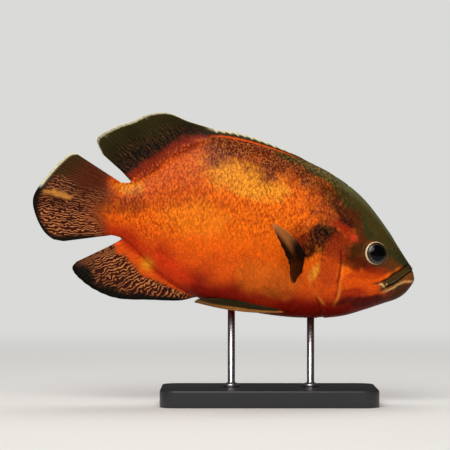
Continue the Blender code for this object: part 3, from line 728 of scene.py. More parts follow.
# Shades as a screen shows them, from 0 to 255
PALETTE = {
    "flank": (240, 108, 8),
    "flank_yellow_and_highlight": (246, 160, 38),
    "mid_flank": (238, 98, 8),
    "low_flank": (214, 78, 8),
    "rear_flank": (206, 80, 14),
    "stalk": (156, 56, 9),
    "shoulder": (176, 72, 20),
    "hot_orange": (214, 56, 4),
    "belly": (136, 20, 2),
    "belly_deep_and_shade": (100, 12, 1),
    "band": (84, 25, 7),
    "band_line": (196, 116, 66),
    "blotch": (46, 9, 2),
    "blotch_heart": (30, 22, 6),
    "temple": (52, 7, 1),
    "crown_brown": (84, 38, 10),
    "cheek_brown": (128, 34, 4),
    "eye_shade": (56, 32, 4),
    "under_eye": (80, 24, 4),
    "cheek": (222, 80, 6),
    "jaw_red": (158, 34, 5),
    "gill_cover": (180, 62, 8),
    "red_spot": (150, 36, 5),
    "red_bright": (214, 62, 26),
    "pale_streak_and_highlight": (230, 138, 44),
    # Cream of the lip crest, partly painted highlight, and the painted highlights on the mouth's corner
    # folds
    "pale": (232, 186, 118),
    "throat": (78, 8, 1),
    "chin": (64, 36, 8),
    "crown": (50, 52, 22),
    "crown_highlight": (92, 94, 62),
    "snout": (46, 44, 22),
    "snout_side": (90, 50, 18),
    "upper_lip": (56, 44, 18),
    "lower_lip": (98, 62, 26),
    "groove_shade": (24, 6, 2),
    # Painted shade in the groove behind the cheek's edge
    "fold": (96, 12, 2),
    "ocellus": (70, 18, 8),
    "fin_dark": (14, 9, 1),
    "fin_mid": (44, 36, 4),
    "fin_black": (12, 8, 2),
    "fin_red": (128, 30, 4),
    "fin_maroon": (52, 14, 4),
    "fin_orange": (220, 80, 10),
    "fin_tan": (196, 118, 66),
    "fin_edge": (228, 218, 176),
    "tail_brown": (78, 28, 3),
    "tail_root": (122, 46, 14),
    "tail_fold_highlight": (232, 156, 60),
    "yellow_spot_and_highlight": (234, 150, 26),
    "eye_ring": (224, 200, 160),
    "iris": (44, 26, 6),
    "pectoral": (186, 112, 58),
    "pelvic": (184, 120, 60),
    "pelvic_web": (44, 34, 12),
}
SHADE = {name: np.array(srgb(*value)) for name, value in PALETTE.items()}


def layered(colours, *layers):
    """Colours under layers of paint, each a mask and the name of its shade."""
    for mask, name in layers:
        mask = np.clip(mask, 0, 1)[:, None]
        colours = colours * (1 - mask) + SHADE[name] * mask
    return colours


def within(x, low, full, fading, gone):
    """A smooth rise from low to full and a smooth fall from fading to gone."""
    return eased(x, low, full) * (1 - eased(x, fading, gone))


def patch_mask(behind, height, middle, sizes, tilt, wobble):
    """1 inside a tilted oval patch, falling to 0 over its wavy edge."""
    turn = math.radians(tilt)
    away_b, away_h = behind - middle[0], height - middle[1]
    along = (away_b * math.cos(turn) + away_h * math.sin(turn)) / sizes[0]
    across = (away_h * math.cos(turn) - away_b * math.sin(turn)) / sizes[1]
    return 1 - eased(np.hypot(along, across) + wobble, 0.60, 1.25)


def line_layers(lines, behind, height, fine):
    """Layers of paint along lines that fade in and out."""
    for points, width, name, strength in lines:
        away, share = line_distance(points, behind * MM, height * MM)
        fade = eased(share, -0.01, 0.12) * eased(share, 0.80, 1.0, 1.0, 0.2)
        yield strength * fade * bell(away + 0.25 * fine, width), name


def body_paint(behind, height, percent, soft, fine):
    """Colours of the body and head, and how much dark speckle and pale line there is, at places in mm."""
    stops = np.array([SHADE[name] for _, name in FLANK_STOPS])
    marks = [share for share, _ in FLANK_STOPS]
    flank = np.stack([np.interp(percent + 3.0 * soft, marks, stops[:, k]) for k in range(3)], axis=-1)
    wobble = 0.14 * soft + 0.13 * fine
    patches = (
        (strength * patch_mask(behind, height, middle, sizes, tilt, wobble), name)
        for middle, sizes, tilt, name, strength in PATCHES
    )
    low = 1 - eased(percent, 6, 26)
    band = eased(percent + 3.5 * soft + 2 * fine, 74, 92) * within(behind, 68, 88, 152, 172)
    rear_back = eased(percent + 2 * soft, 90, 98) * within(behind, 158, 168, 196, 206)
    crown, above, gape, lower = (
        line_distance(line, behind * MM, height * MM)[0]
        for line in (CROWN_LINE, LIP_GROOVE, GAPE, LOWER_LIP)
    )
    olive = eased(crown + 1.4 * soft + 0.8 * fine, -1.5, 2.5) * (behind < 125)
    border = bell(crown + 2.5, 4.0) * within(behind, 33, 40, 72, 90)
    # Painted highlight along the top of the head, where the light catches the crown
    rim = eased(percent, 92, 99) * (1 - eased(behind, 70, 105))
    on_lips = 1 - eased(behind, 20, 26)
    colours = layered(
        flank,
        (0.7 * low * eased(behind, 146, 165), "hot_orange"),
        *patches,
        (0.95 * band, "band"),
        (0.8 * rear_back, "fin_red"),
        (0.85 * eased(behind + 3 * soft, 214, 228), "tail_root"),
        (0.85 * border, "crown_brown"),
        (0.97 * olive, "crown"),
        (0.80 * rim * olive, "crown_highlight"),
        (0.85 * olive * (1 - eased(behind, 8, 22)), "snout"),
        (0.98 * on_lips * (above < 0) * (gape > 0), "upper_lip"),
        (0.90 * on_lips * (gape < 0) * eased(lower, -1.0, 0.6), "lower_lip"),
        *line_layers(PALE_AND_HIGHLIGHT_LINES + GROOVE_SHADE_LINES, behind, height, fine),
    )
    speckle = eased(percent + 6 * soft, 30, 62) * eased(behind + 4 * soft, 52, 68)
    speckle = np.maximum(speckle, eased(behind, 150, 176) * eased(percent + 5 * soft, 14, 34))
    speckle = np.maximum(speckle, 0.30 * eased(percent, 8, 30) * eased(behind, 70, 90))
    blotched = patch_mask(behind, height, (66, 14), (24, 20), 20, wobble) * (1 - olive)
    pink = np.maximum(band * (1 - 0.7 * olive), 0.22 * blotched)
    return colours, np.stack([speckle, np.zeros(len(behind)), pink], axis=-1)


# Each fin's paint takes the rays' phase, the share of the way to the margin and two noises, and gives the
# ground shade, the layers over it and the amount of maze

def dorsal_paint(phase, along, soft, fine):
    spiny = 1 - eased(phase, DORSAL_SPINES - 1, DORSAL_SPINES + 1)
    layers = (
        (eased(along + 0.1 * soft, 0.35, 0.95), "fin_mid"),
        (0.9 * (1 - eased(along + 0.05 * fine, 0.06, 0.32)), "fin_red"),
        (spiny * (1 - eased(along, 0.15, 0.45)) * eased(phase, 1.0, 4.0), "low_flank"),
        (spiny * eased(along, 0.30, 0.60), "crown"),
        (0.9 * spiny * eased(along, 0.62, 0.9) * eased(phase, 0.5, 3.0), "fin_edge"),
        (0.95 * eased(along + 0.01 * fine, 0.952, 0.978) * (1 - spiny), "fin_edge"),
    )
    return "fin_dark", layers, 0.09 * (1 - eased(along, 0.45, 0.8)) * (1 - spiny)


def anal_paint(phase, along, soft, fine):
    base = 1 - eased(along + 0.03 * fine, 0.15, 0.27)
    outer = eased(along + 0.05 * soft - 0.12 * eased(phase, 11, 17), 0.72, 0.84)
    layers = ((0.95 * base, "fin_orange"), (outer, "fin_black"))
    return "fin_maroon", layers, 0.9 * (1 - base) * (1 - outer) * eased(along, 0.5, 0.7, 1.0, 0.6)


def tail_paint(phase, along, soft, fine):
    upper = eased(phase - 0.8 * soft, 9.5, 12.0)
    # Painted highlight along the tail fin's soft fold, where it turns up to the light
    fold_highlight = bell(phase - 8.5 + 0.25 * fine, 0.45) * eased(along + 0.06 * fine, 0.40, 0.66)
    outer = eased(along + 0.02 * soft, 0.90, 0.96) * (1 - 0.6 * upper)
    outer = np.maximum(outer, (1 - eased(phase, 0.2, 1.0)) * eased(along, 0.2, 0.4))
    layers = (
        (upper, "tail_brown"),
        (0.7 * upper * eased(along, 0.55, 0.9), "fin_mid"),
        (0.85 * (1 - eased(along + 0.05 * soft, 0.10, 0.42)), "tail_root"),
        (0.9 * outer, "fin_black"),
        (0.62 * fold_highlight * (1 - eased(along, 0.88, 0.95)), "tail_fold_highlight"),
        (0.95 * eased(phase, 8.6, 9.6) * eased(along, 0.955, 0.975), "fin_edge"),
    )
    maze = (1 - upper) * (1 - outer) * eased(along, 0.04, 0.3) * eased(phase, 4.8, 6.4, 0.9, 0.5)
    return "fin_maroon", layers, maze


def pectoral_paint(phase, along, soft, fine):
    across = phase / PECTORAL_RAYS
    strip = 1 - eased(across + 5 * (along - 0.8) / PECTORAL_RAYS, 0.14, 0.36)
    layers = (
        (0.9 * strip * eased(along, 0.34, 0.66), "pectoral"),
        (0.35 * eased(across, 0.6, 0.8) * eased(along, 0.90, 0.97), "pectoral"),
    )
    return "fin_black", layers, 0


def pelvic_paint(phase, along, soft, fine):
    towards_tip = eased(along, 0.5, 0.9)
    lead = 1 - eased(phase + 0.9 * towards_tip, 2.0, 2.9)
    return "pelvic_web", ((0.9 * lead * (1 - 0.6 * towards_tip), "pelvic"),), 0


# Each kind of fin with its paint, and the share of its height by which its paint has replaced the body's
FIN_PAINTS = {
    DORSAL: (dorsal_paint, 0.10),
    ANAL: (anal_paint, 0.10),
    TAIL: (tail_paint, 0.30),
    PECTORAL: (pectoral_paint, 0.05),
    PELVIC: (pelvic_paint, 0.02),
}


def paint(place, fin):
    """Linear colours, and the amounts of speckle, maze and fine line, at places of the skin or scales."""
    behind, height = place[:, 0] / MM, place[:, 2] / MM
    soft = rolling_noise(place, 0.011, 3)
    fine = rolling_noise(place, 0.0035, 5)
    back, belly, _ = profile(np.minimum(place[:, 0], TAIL_START))
    percent = (place[:, 2] - belly) / (back - belly) * 100
    colours, marks = body_paint(behind, height, np.clip(percent, 0, 100), soft, fine)
    kinds = np.rint(fin[:, 2]).astype(int)
    for kind, (paint_fin, taken_over) in FIN_PAINTS.items():
        chosen = kinds == kind
        if chosen.any():
            phase, along = fin[chosen, 0], fin[chosen, 1]
            ground, layers, maze = paint_fin(phase, along, soft[chosen], fine[chosen])
            on_fin = layered(np.tile(SHADE[ground], (len(phase), 1)), *layers)
            share = eased(along + 0.03 * soft[chosen], 0.0, taken_over)
            colours[chosen] += (on_fin - colours[chosen]) * share[:, None]
            marks[chosen] *= 1 - share[:, None]
            marks[chosen, 1] += maze * share
    spot = bell(np.hypot(behind - YELLOW_SPOT[0], height - YELLOW_SPOT[1]), YELLOW_SPOT_WIDTH)
    return layered(colours, (0.9 * spot * (kinds < PECTORAL), "yellow_spot_and_highlight")), marks


def write_vectors(mesh, name, values):
    """Gives each vertex a vector under that name."""
    layer = mesh.attributes.new(name, "FLOAT_VECTOR", "POINT")
    layer.data.foreach_set("vector", values.astype(np.float32).ravel())


def write_paint(mesh, place, fin):
    """Gives each vertex its colour and its amounts of marking."""
    colours, marks = paint(place, fin)
    layer = mesh.attributes.new("paint", "FLOAT_COLOR", "POINT")
    opaque = np.column_stack([colours, np.ones(len(colours))])
    layer.data.foreach_set("color", opaque.astype(np.float32).ravel())
    write_vectors(mesh, "marks", marks)
    write_vectors(mesh, "fin", fin)


def smooth(bm):
    for face in bm.faces:
        face.smooth = True


def finish_mesh(name, bm):
    mesh = bpy.data.meshes.new(name)
    bm.to_mesh(mesh)
    bm.free()
    return mesh


def turned(outline, steps, ahead=0.0):
    """An outline of (radius, height) turned into a closed body about an upright line that far ahead."""
    bm = bmesh.new()
    points = [bm.verts.new((ahead + radius, 0, height)) for radius, height in outline]
    edges = [bm.edges.new(pair) for pair in zip(points, points[1:])]
    full = {"axis": (0, 0, 1), "angle": math.tau, "steps": steps, "use_merge": True}
    bmesh.ops.spin(bm, geom=points + edges, cent=(ahead, 0, 0), **full)
    bmesh.ops.remove_doubles(bm, verts=bm.verts, dist=FINE_WELD)
    bmesh.ops.recalc_face_normals(bm, faces=bm.faces)
    smooth(bm)
    return bm


def place_piece(name, mesh, *materials, nodes=(), slot):
    """Links a finished mesh as a piece of the fish or its stand."""
    piece = bpy.data.objects.new(name, mesh)
    bpy.context.scene.collection.objects.link(piece)
    for material in materials:
        mesh.materials.append(material)
    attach(piece, "root")
    if nodes:
        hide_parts(*nodes)


# Skin

def coat_share(places, reach_left):
    """1 where the body wears scales, 0 on the bare face and where the coat runs out."""
    away, _ = line_distance(COAT_LINE, places[..., 0], places[..., 2])
    ends = 1 - eased(places[..., 0], 0.2125, 0.2165)
    return eased(away, -0.2, 2.0) * ends * eased(reach_left, 0.0001, 0.0012)


def root_distance(grid):
    """How far each place of the body is from the nearest fin root on its ring."""
    reach, middle = grid["reach"], grid["middle"]
    top = np.where(grid["on_dorsal"], reach[:, middle.stop - 1], 1.0)
    low = np.where(grid["on_anal"], reach[:, middle.start], -1.0)
    return np.minimum(top[:, None] - reach, reach - low[:, None])


def lay_grid(bm, layers, points, places, fin):
    """Makes a grid of faces through the points, each vertex with its place and its fin coordinates."""
    count, width = points.shape[:2]
    verts = bmesh.ops.create_grid(bm, x_segments=width - 1, y_segments=count - 1, size=0.5)["verts"]
    rows = (values.reshape(-1, 3) for values in (to_world(points), places, fin))
    for vert, co, where, mark in zip(verts, *rows):
        vert.co, vert[layers[0]], vert[layers[1]] = co, where, mark


PAIRED_FINS = (
    (PECTORAL, PECTORAL_BASE, PECTORAL_MARGIN, PECTORAL_RAYS, PECTORAL_BENDS, PECTORAL_ROOT_HALF),
    (PELVIC, PELVIC_BASE, PELVIC_MARGIN, PELVIC_RAYS, PELVIC_BENDS, PELVIC_ROOT_HALF),
)


def sleeve(bm, layers, side, kind, base, margin, rays, bends, root_half):
    """A closed paired fin with raised rays; its root ends inside the body."""
    columns, rows = COLUMNS_PER_RAY * rays, SLEEVE_ROWS
    around = np.linspace(0, 2, 2 * columns + 1)
    across = np.where(around <= 1, around, 2 - around)
    face = np.where(around <= 1, 1.0, -1.0)[None]
    along = np.linspace(0, 1, rows + 1)[:, None]
    base = np.asarray(base, float)
    root = base[0] + (base[1] - base[0]) * across[:, None]
    middle = root[None] + (curve(margin, across) - root)[None] * along[..., None]
    lead, web = np.asarray(bends)
    arch = np.sin(math.pi * along)[..., None]
    middle += lead * arch * (1 - across)[:, None] + web * arch * np.sin(math.pi * across)[:, None]
    fold = np.cos(2 * math.pi * across * rays) * across * (1 - across) * 4
    middle += web * 0.08 * fold[:, None] * (along**2)[..., None]
    front = middle[:, : columns + 1]
    normal = unit(np.cross(np.gradient(front, axis=1), np.gradient(front, axis=0)))
    normal = np.concatenate([normal, normal[:, -2::-1]], axis=1)
    phase = across[None] * rays
    half = tapered(root_half, along) + PAIRED_RAY * (ray_relief(phase, along) - 0.35) * (1 - 0.6 * along)
    edge = rounded(across, 0.05) * rounded(1 - across, 0.05)
    rim = rounded(1 - along, RIM) * rounded(along, RIM)
    points = middle + normal * (half * edge[None] * rim * face)[..., None]
    fin = np.stack(np.broadcast_arrays(phase, along, float(kind)), axis=-1)
    lay_grid(bm, layers, points * (1, side, 1), points, fin)


def build_skin(scale_depth):
    grid = skin_grid()
    fin, middle, on_anal, on_dorsal = (grid[name] for name in ("fin", "middle", "on_anal", "on_dorsal"))
    bed = np.zeros(fin.shape[:2])
    bed[:, middle] = coat_share(grid["points"], root_distance(grid))[:, middle]
    points = grid["points"] - grid["facing"] * (bed * scale_depth)[..., None]
    points[~on_anal, middle.start, 1] = 0
    points[~on_dorsal, middle.stop - 1, 1] = 0

    bm = bmesh.new()
    layers = [bm.verts.layers.float_vector.new(name) for name in ("place", "ray")]
    lay_grid(bm, layers, points, points, fin)
    off = np.zeros(fin.shape[:2], bool)
    off[:, middle.stop :] = ~on_dorsal[:, None]
    off[:, : middle.start] = ~on_anal[:, None]
    bm.verts.ensure_lookup_table()
    bmesh.ops.delete(bm, geom=[bm.verts[i] for i in np.flatnonzero(off)], context="VERTS")
    copy = bmesh.ops.duplicate(bm, geom=bm.verts[:] + bm.edges[:] + bm.faces[:])["geom"]
    left = [item for item in copy if isinstance(item, bmesh.types.BMVert)]
    bmesh.ops.scale(bm, verts=left, vec=(1, -1, 1))
    bmesh.ops.reverse_faces(bm, faces=[item for item in copy if isinstance(item, bmesh.types.BMFace)])
    bmesh.ops.remove_doubles(bm, verts=bm.verts, dist=SKIN_WELD)
    for vert in bm.verts:
        where = vert[layers[0]]
        if where.x > TAIL_START:
            vert.co.y -= float(tail_sway(where.x, where.z))
    for side, _ in SIDES:
        for paired in PAIRED_FINS:
            sleeve(bm, layers, side, *paired)
    bmesh.ops.remove_doubles(bm, verts=bm.verts, dist=SKIN_WELD)
    bmesh.ops.recalc_face_normals(bm, faces=bm.faces)
    smooth(bm)
    mesh = finish_mesh("skin", bm)
    values = []
    for name in ("place", "ray"):
        flat = np.empty(len(mesh.vertices) * 3, np.float32)
        mesh.attributes[name].data.foreach_get("vector", flat)
        values.append(flat.reshape(-1, 3).astype(float))
        mesh.attributes.remove(mesh.attributes[name])
    write_paint(mesh, *values)
    return mesh


# Scales

def scale_pitch(behind, longest):
    """The spacing of the scales in their rows: longest at the deepest place, less towards the tail."""
    grid = skin_grid()
    girth = grid["reach"][:, grid["middle"].stop - 1] - grid["reach"][:, grid["middle"].start]
    return longest * np.interp(behind, grid["rings"], (girth / girth.max()).clip(0.05) ** 0.5)


def sampled(behind, away):
    """The skin without its bed at places given by distance along the fish and round from its mid level.

    Each row holds the place, the way it faces and the fin coordinates there.
    """
    grid = skin_grid()
    table = np.concatenate([grid["points"], grid["facing"], grid["fin"]], axis=-1)
    count, width = grid["reach"].shape
    key = (np.arange(count)[:, None] + grid["reach"]).ravel()
    columns = np.tile(np.arange(width, dtype=float), count)
    row = np.clip(np.interp(behind, grid["rings"], np.arange(count)), 0, count - 1.001)
    low = row.astype(int)
    total = np.zeros((len(row), table.shape[-1]))
    for ring, ring_share in ((low, 1 - (row - low)), (low + 1, row - low)):
        inside = np.clip(away, grid["reach"][ring, 0], grid["reach"][ring, -1])
        column = np.interp(ring + inside, key, columns)
        left = np.clip(column.astype(int), 0, width - 2)
        for at, share in ((left, 1 - (column - left)), (left + 1, column - left)):
            total += table[ring, at] * (ring_share * share)[:, None]
    return total


def scale_template(steps):
    """One scale as a thin closed plate of its own measure: x from root to free edge, y across, top at 0."""
    bm = bmesh.new()
    bmesh.ops.create_grid(bm, x_segments=steps, y_segments=steps, size=1.0)
    bmesh.ops.scale(bm, verts=bm.verts, vec=(0.5, 1.0, 1.0))
    bmesh.ops.translate(bm, verts=bm.verts, vec=(0.5, 0, 0))
    bmesh.ops.solidify(bm, geom=bm.faces[:], thickness=1.0)
    top = max(vert.co.z for vert in bm.verts)
    bmesh.ops.translate(bm, verts=bm.verts, vec=(0, 0, -top))
    bmesh.ops.recalc_face_normals(bm, faces=bm.faces)
    smooth(bm)
    for edge in bm.edges:
        ends = [vert.co for vert in edge.verts]
        on_rim = all(co.x < 1e-4 or co.x > 1 - 1e-4 or abs(co.y) > 1 - 1e-4 for co in ends)
        edge.smooth = not (on_rim and abs(ends[0].z - ends[1].z) < 0.5)
    return finish_mesh("scale", bm)


def joined_copies(template, count):
    """A mesh with that many copies of the template, one after another."""
    carrier = bpy.data.objects.new("scale_carrier", template)
    bpy.context.scene.collection.objects.link(carrier)
    array = carrier.modifiers.new("copies", "ARRAY")
    array.count = count
    array.use_relative_offset = False
    array.use_constant_offset = True
    array.constant_offset_displace = (0, 0, 0)
    graph = bpy.context.evaluated_depsgraph_get()
    mesh = bpy.data.meshes.new_from_object(carrier.evaluated_get(graph), depsgraph=graph)
    bpy.data.objects.remove(carrier)
    return mesh


def lattice(pitch_along, seed):
    """Roots of staggered rows of scales, as distance along, rows from the mid level, and random numbers."""
    rng = np.random.default_rng(seed)
    fine = np.linspace(LATTICE_START, TAIL_START + TAIL_SPAN, 3000)
    total = running_total(1 / scale_pitch(fine, pitch_along), fine)
    row, column = np.meshgrid(np.arange(-LATTICE_ROWS, LATTICE_ROWS + 1), np.arange(0, int(total[-1])))
    row, column = row.ravel().astype(float), column.ravel().astype(float)
    column = column + 0.5 * (row % 2) + rng.uniform(-STRAY_ALONG, STRAY_ALONG, len(row))
    behind = np.interp(column, total, fine)
    row = row + rng.uniform(-STRAY_ACROSS, STRAY_ACROSS, len(row))
    return behind, row, rng.uniform(0, 1, (len(row), 2))


def roots_in(pitch_along, pitch_across, seed, wanted):
    """The roots of a lattice where wanted says yes. wanted takes places, fin coordinates and the way out."""
    behind, row, chance = lattice(pitch_along, seed)
    away = row * scale_pitch(behind, pitch_across)
    grid = skin_grid()
    ring = np.clip(np.searchsorted(grid["rings"], behind), 0, len(grid["rings"]) - 1)
    reach, body = grid["reach"][ring], grid["middle"]
    on_ring = (away > reach[:, 0]) & (away < reach[:, -1])
    root_left = np.minimum(reach[:, body.stop - 1] - away, away - reach[:, body.start])
    found = sampled(behind, away)
    keep = on_ring & wanted(found[:, :3], found[:, 6:9], root_left)
    return behind[keep], row[keep], chance[keep]


def write_bake_map(mesh, behind, away, a, c):
    """Lays each scale on its own patch of the bake map."""
    root_u = BAKE_MARGIN + (1 - 2 * BAKE_MARGIN) * behind / (TAIL_START + TAIL_SPAN)
    root_v = 0.5 + BAKE_STRETCH * away
    u = root_u[:, None] + (a[None] - 0.5) * BAKE_PATCH
    v = root_v[:, None] + c[None] * BAKE_PATCH / 2
    corners = np.empty(len(mesh.loops), np.int32)
    mesh.loops.foreach_get("vertex_index", corners)
    uv = np.stack([u.ravel()[corners], v.ravel()[corners]], axis=-1)
    mesh.uv_layers.new(name="OFBake").data.foreach_set("uv", uv.astype(np.float32).ravel())


def scale_mesh(name, chosen, pitch_along, pitch_across, reach_along, lifts, thick, steps, side):
    """Joined scales over the skin. lifts are the heights of a scale's root and free edge over it."""
    behind, row, chance = chosen
    template = scale_template(steps)
    flat = np.empty(len(template.vertices) * 3)
    template.vertices.foreach_get("co", flat)
    s, q, level = flat.reshape(-1, 3).T
    a = s - 0.24 * s * q**2 + 0.10 * (1 - s) * q**2
    c = q * (0.70 + 0.30 * np.sin(math.pi * np.clip(s, 0.06, 0.94)) ** 0.7)
    mesh = joined_copies(template, len(behind))
    mesh.name = name
    bpy.data.meshes.remove(template)

    size = SMALLEST + (LARGEST - SMALLEST) * chance[:, :1]
    along = behind[:, None] + a[None] * reach_along * scale_pitch(behind, pitch_along)[:, None] * size
    rows = row[:, None] + SCALE_OVERLAP * c[None] * size
    across = rows * scale_pitch(along.ravel(), pitch_across).reshape(along.shape)
    found = sampled(along.ravel(), across.ravel()).reshape(*along.shape, 9)
    place, facing, fin = found[..., :3], unit(found[..., 3:6]), found[..., 6:9].copy()
    lift = lifts[0] + (lifts[1] - lifts[0]) * a + SCALE_DOME * (1 - c**2) + level * thick
    points = place + facing * (lift[None] + SCALE_LIFT * (chance[:, 1:] - 0.5))[..., None]
    sway = np.where(place[..., 0] > TAIL_START, tail_sway(place[..., 0], place[..., 2]), 0)
    points[..., 1] = side * np.maximum(points[..., 1], MIDDLE_GAP) + sway
    mesh.vertices.foreach_set("co", to_world(points).astype(np.float32).ravel())
    if side < 0:
        mesh.flip_normals()

    fin[..., 2] = np.median(fin[..., 2], axis=1)[:, None]
    write_paint(mesh, place.reshape(-1, 3), fin.reshape(-1, 3))
    write_vectors(mesh, "plate", np.stack(np.broadcast_arrays(a[None], c[None], chance[:, :1]), axis=-1))
    write_bake_map(mesh, behind, row * scale_pitch(behind, pitch_across), a, c)
    return mesh


# Materials

def node(tree, kind, inputs=None, **settings):
    """Adds a node, gives it its settings, and sets or links its inputs."""
    made = tree.nodes.new(kind)
    for name, value in settings.items():
        setattr(made, name, value)
    for key, value in (inputs or {}).items():
        if isinstance(value, bpy.types.NodeSocket):
            tree.links.new(value, made.inputs[key])
        else:
            made.inputs[key].default_value = value
    return made


def maths(tree, operation, *values):
    return node(tree, "ShaderNodeMath", dict(enumerate(values)), operation=operation).outputs[0]


def times(tree, *values):
    return functools.reduce(functools.partial(maths, tree, "MULTIPLY"), values)


def plus(tree, *values):
    return functools.reduce(functools.partial(maths, tree, "ADD"), values)


def ramp(tree, value, low, high, to_low=0.0, to_high=1.0):
    """A smooth step of a value."""
    inputs = {"Value": value, "From Min": low, "From Max": high, "To Min": to_low, "To Max": to_high}
    return node(tree, "ShaderNodeMapRange", inputs, interpolation_type="SMOOTHSTEP").outputs[0]


def mixed(tree, share, first, second, blend="MIX"):
    inputs = {0: share, 6: first, 7: second}
    return node(tree, "ShaderNodeMix", inputs, data_type="RGBA", blend_type=blend).outputs[2]


def brightened(tree, amount, colour):
    return node(tree, "ShaderNodeHueSaturation", {"Value": amount, "Color": colour}).outputs[0]


def noise(tree, coordinates, scale, detail=1.0):
    """Noise over coordinates multiplied by scale."""
    inputs = {"Vector": coordinates, "Scale": scale, "Detail": detail}
    return node(tree, "ShaderNodeTexNoise", inputs).outputs["Fac"]


def object_coordinates(tree, turn=(0, 0, 0), stretch=(1, 1, 1)):
    source = node(tree, "ShaderNodeTexCoord").outputs["Object"]
    return node(tree, "ShaderNodeMapping", {"Vector": source, "Rotation": turn, "Scale": stretch}).outputs[0]


def attribute(tree, name, output="Vector"):
    return node(tree, "ShaderNodeAttribute", attribute_name=name).outputs[output]


def parts_of(tree, vector):
    return node(tree, "ShaderNodeSeparateXYZ", {0: vector}).outputs


def new_group(name, inputs, outputs):
    """An empty node group with those sockets, and its input and output nodes."""
    group = bpy.data.node_groups.new(name, "ShaderNodeTree")
    for socket, kind, value in inputs:
        made = group.interface.new_socket(socket, in_out="INPUT", socket_type=kind)
        if value is not None:
            made.default_value = value
    for socket, kind in outputs:
        group.interface.new_socket(socket, in_out="OUTPUT", socket_type=kind)
    return group, group.nodes.new("NodeGroupInput").outputs, group.nodes.new("NodeGroupOutput").inputs


def new_material(name, **values):
    """A material with its Principled shader's own values set."""
    material = bpy.data.materials.new(name)
    material.use_nodes = True
    shader = material.node_tree.nodes["Principled BSDF"]
    for key, value in values.items():
        if isinstance(value, tuple):
            value = (*value, 1.0)
        shader.inputs[key.replace("_", " ")].default_value = value
    return material, material.node_tree, shader.inputs


def add_bump(tree, sockets, height, strength, distance):
    """Bump of that height on a Principled shader's sockets."""
    bump = node(tree, "ShaderNodeBump", {"Height": height, "Strength": strength, "Distance": distance})
    tree.links.new(bump.outputs[0], sockets["Normal"])


def markings_group():
    """Paint with its dark speckles, winding maze and fine lines."""
    name = "fish_markings"
    if name in bpy.data.node_groups:
        return bpy.data.node_groups[name]
    tree, given, out = new_group(
        name,
        (
            ("Paint", "NodeSocketColor", None),
            ("Marks", "NodeSocketVector", None),
            ("Fin", "NodeSocketVector", None),
            ("Speckle Size", "NodeSocketFloat", 0.0013),
            ("Speckle Strength", "NodeSocketFloat", 0.55),
            ("Lines Per Ray", "NodeSocketFloat", 1.9),
            ("Maze Colour", "NodeSocketColor", (*SHADE["fin_tan"], 1)),
            ("Line Colour", "NodeSocketColor", (*SHADE["band_line"], 1)),
        ),
        (("Color", "NodeSocketColor"),),
    )
    speckles, maze, lines = parts_of(tree, given["Marks"])
    slanted = object_coordinates(tree, turn=(0, math.radians(-34), 0), stretch=(1.0, 1.0, 0.52))
    straight = object_coordinates(tree)

    mottle = ramp(tree, noise(tree, straight, 1 / 0.0013, 3.0), 0.3, 0.7, 0.84, 1.14)
    base = brightened(tree, mottle, given["Paint"])
    deep = mixed(tree, 1.0, base, (0.30, 0.10, 0.07, 1), "MULTIPLY")
    grain = noise(tree, slanted, maths(tree, "DIVIDE", 1.0, given["Speckle Size"]), 2.5)
    dark = times(tree, ramp(tree, grain, 0.47, 0.60), speckles, given["Speckle Strength"])
    light = times(tree, ramp(tree, grain, 0.46, 0.34), speckles, 0.20)
    colour = mixed(tree, light, mixed(tree, dark, base, deep), (*SHADE["flank_yellow_and_highlight"], 1))

    bend = times(tree, noise(tree, straight, 1 / 0.0042), 2.6)
    turns = plus(tree, times(tree, parts_of(tree, given["Fin"])[0], given["Lines Per Ray"]), bend)
    wave = maths(tree, "SINE", times(tree, turns, math.tau))
    broken = ramp(tree, noise(tree, straight, 1 / 0.0024), 0.34, 0.46)
    colour = mixed(tree, times(tree, ramp(tree, wave, 0.0, 0.8), broken, maze), colour, given["Maze Colour"])

    threads = maths(tree, "SUBTRACT", noise(tree, slanted, 1 / 0.0019), 0.5)
    ridge = ramp(tree, maths(tree, "ABSOLUTE", threads), 0.05, 0.012)
    colour = mixed(tree, times(tree, ridge, lines, 0.6), colour, given["Line Colour"])
    tree.links.new(colour, out["Color"])
    return tree


def marked_paint(tree):
    """The piece's own paint with the fish's markings."""
    inputs = {"Paint": attribute(tree, "paint", "Color")}
    inputs |= {name.capitalize(): attribute(tree, name) for name in ("marks", "fin")}
    group = node(tree, "ShaderNodeGroup", node_tree=markings_group())
    for name, value in inputs.items():
        tree.links.new(value, group.inputs[name])
    return group.outputs["Color"]


WET = {"Coat_Weight": 0.02, "Coat_Roughness": 0.20, "Specular_IOR_Level": 0.07}


def make_skin_material():
    material, tree, sockets = new_material("wet_skin", Roughness=0.46, **WET)
    tree.links.new(marked_paint(tree), sockets["Base Color"])
    phase, along, _ = parts_of(tree, attribute(tree, "fin"))
    single, double = (
        maths(tree, "ABSOLUTE", maths(tree, "COSINE", times(tree, phase, turn)))
        for turn in (math.pi, math.tau)
    )
    split = ramp(tree, along, 0.40, 0.62)
    ridges = plus(tree, times(tree, single, maths(tree, "SUBTRACT", 1.0, split)), times(tree, double, split))
    joints = times(tree, maths(tree, "ABSOLUTE", maths(tree, "SINE", times(tree, along, 120.0))), 0.15)
    rays = times(tree, plus(tree, ridges, joints), ramp(tree, along, 0.02, 0.14))
    pebble = noise(tree, object_coordinates(tree), 1 / 0.0009, 2.0)
    add_bump(tree, sockets, plus(tree, times(tree, rays, 1.4), times(tree, pebble, 0.5)), 0.35, 0.0004)
    return material


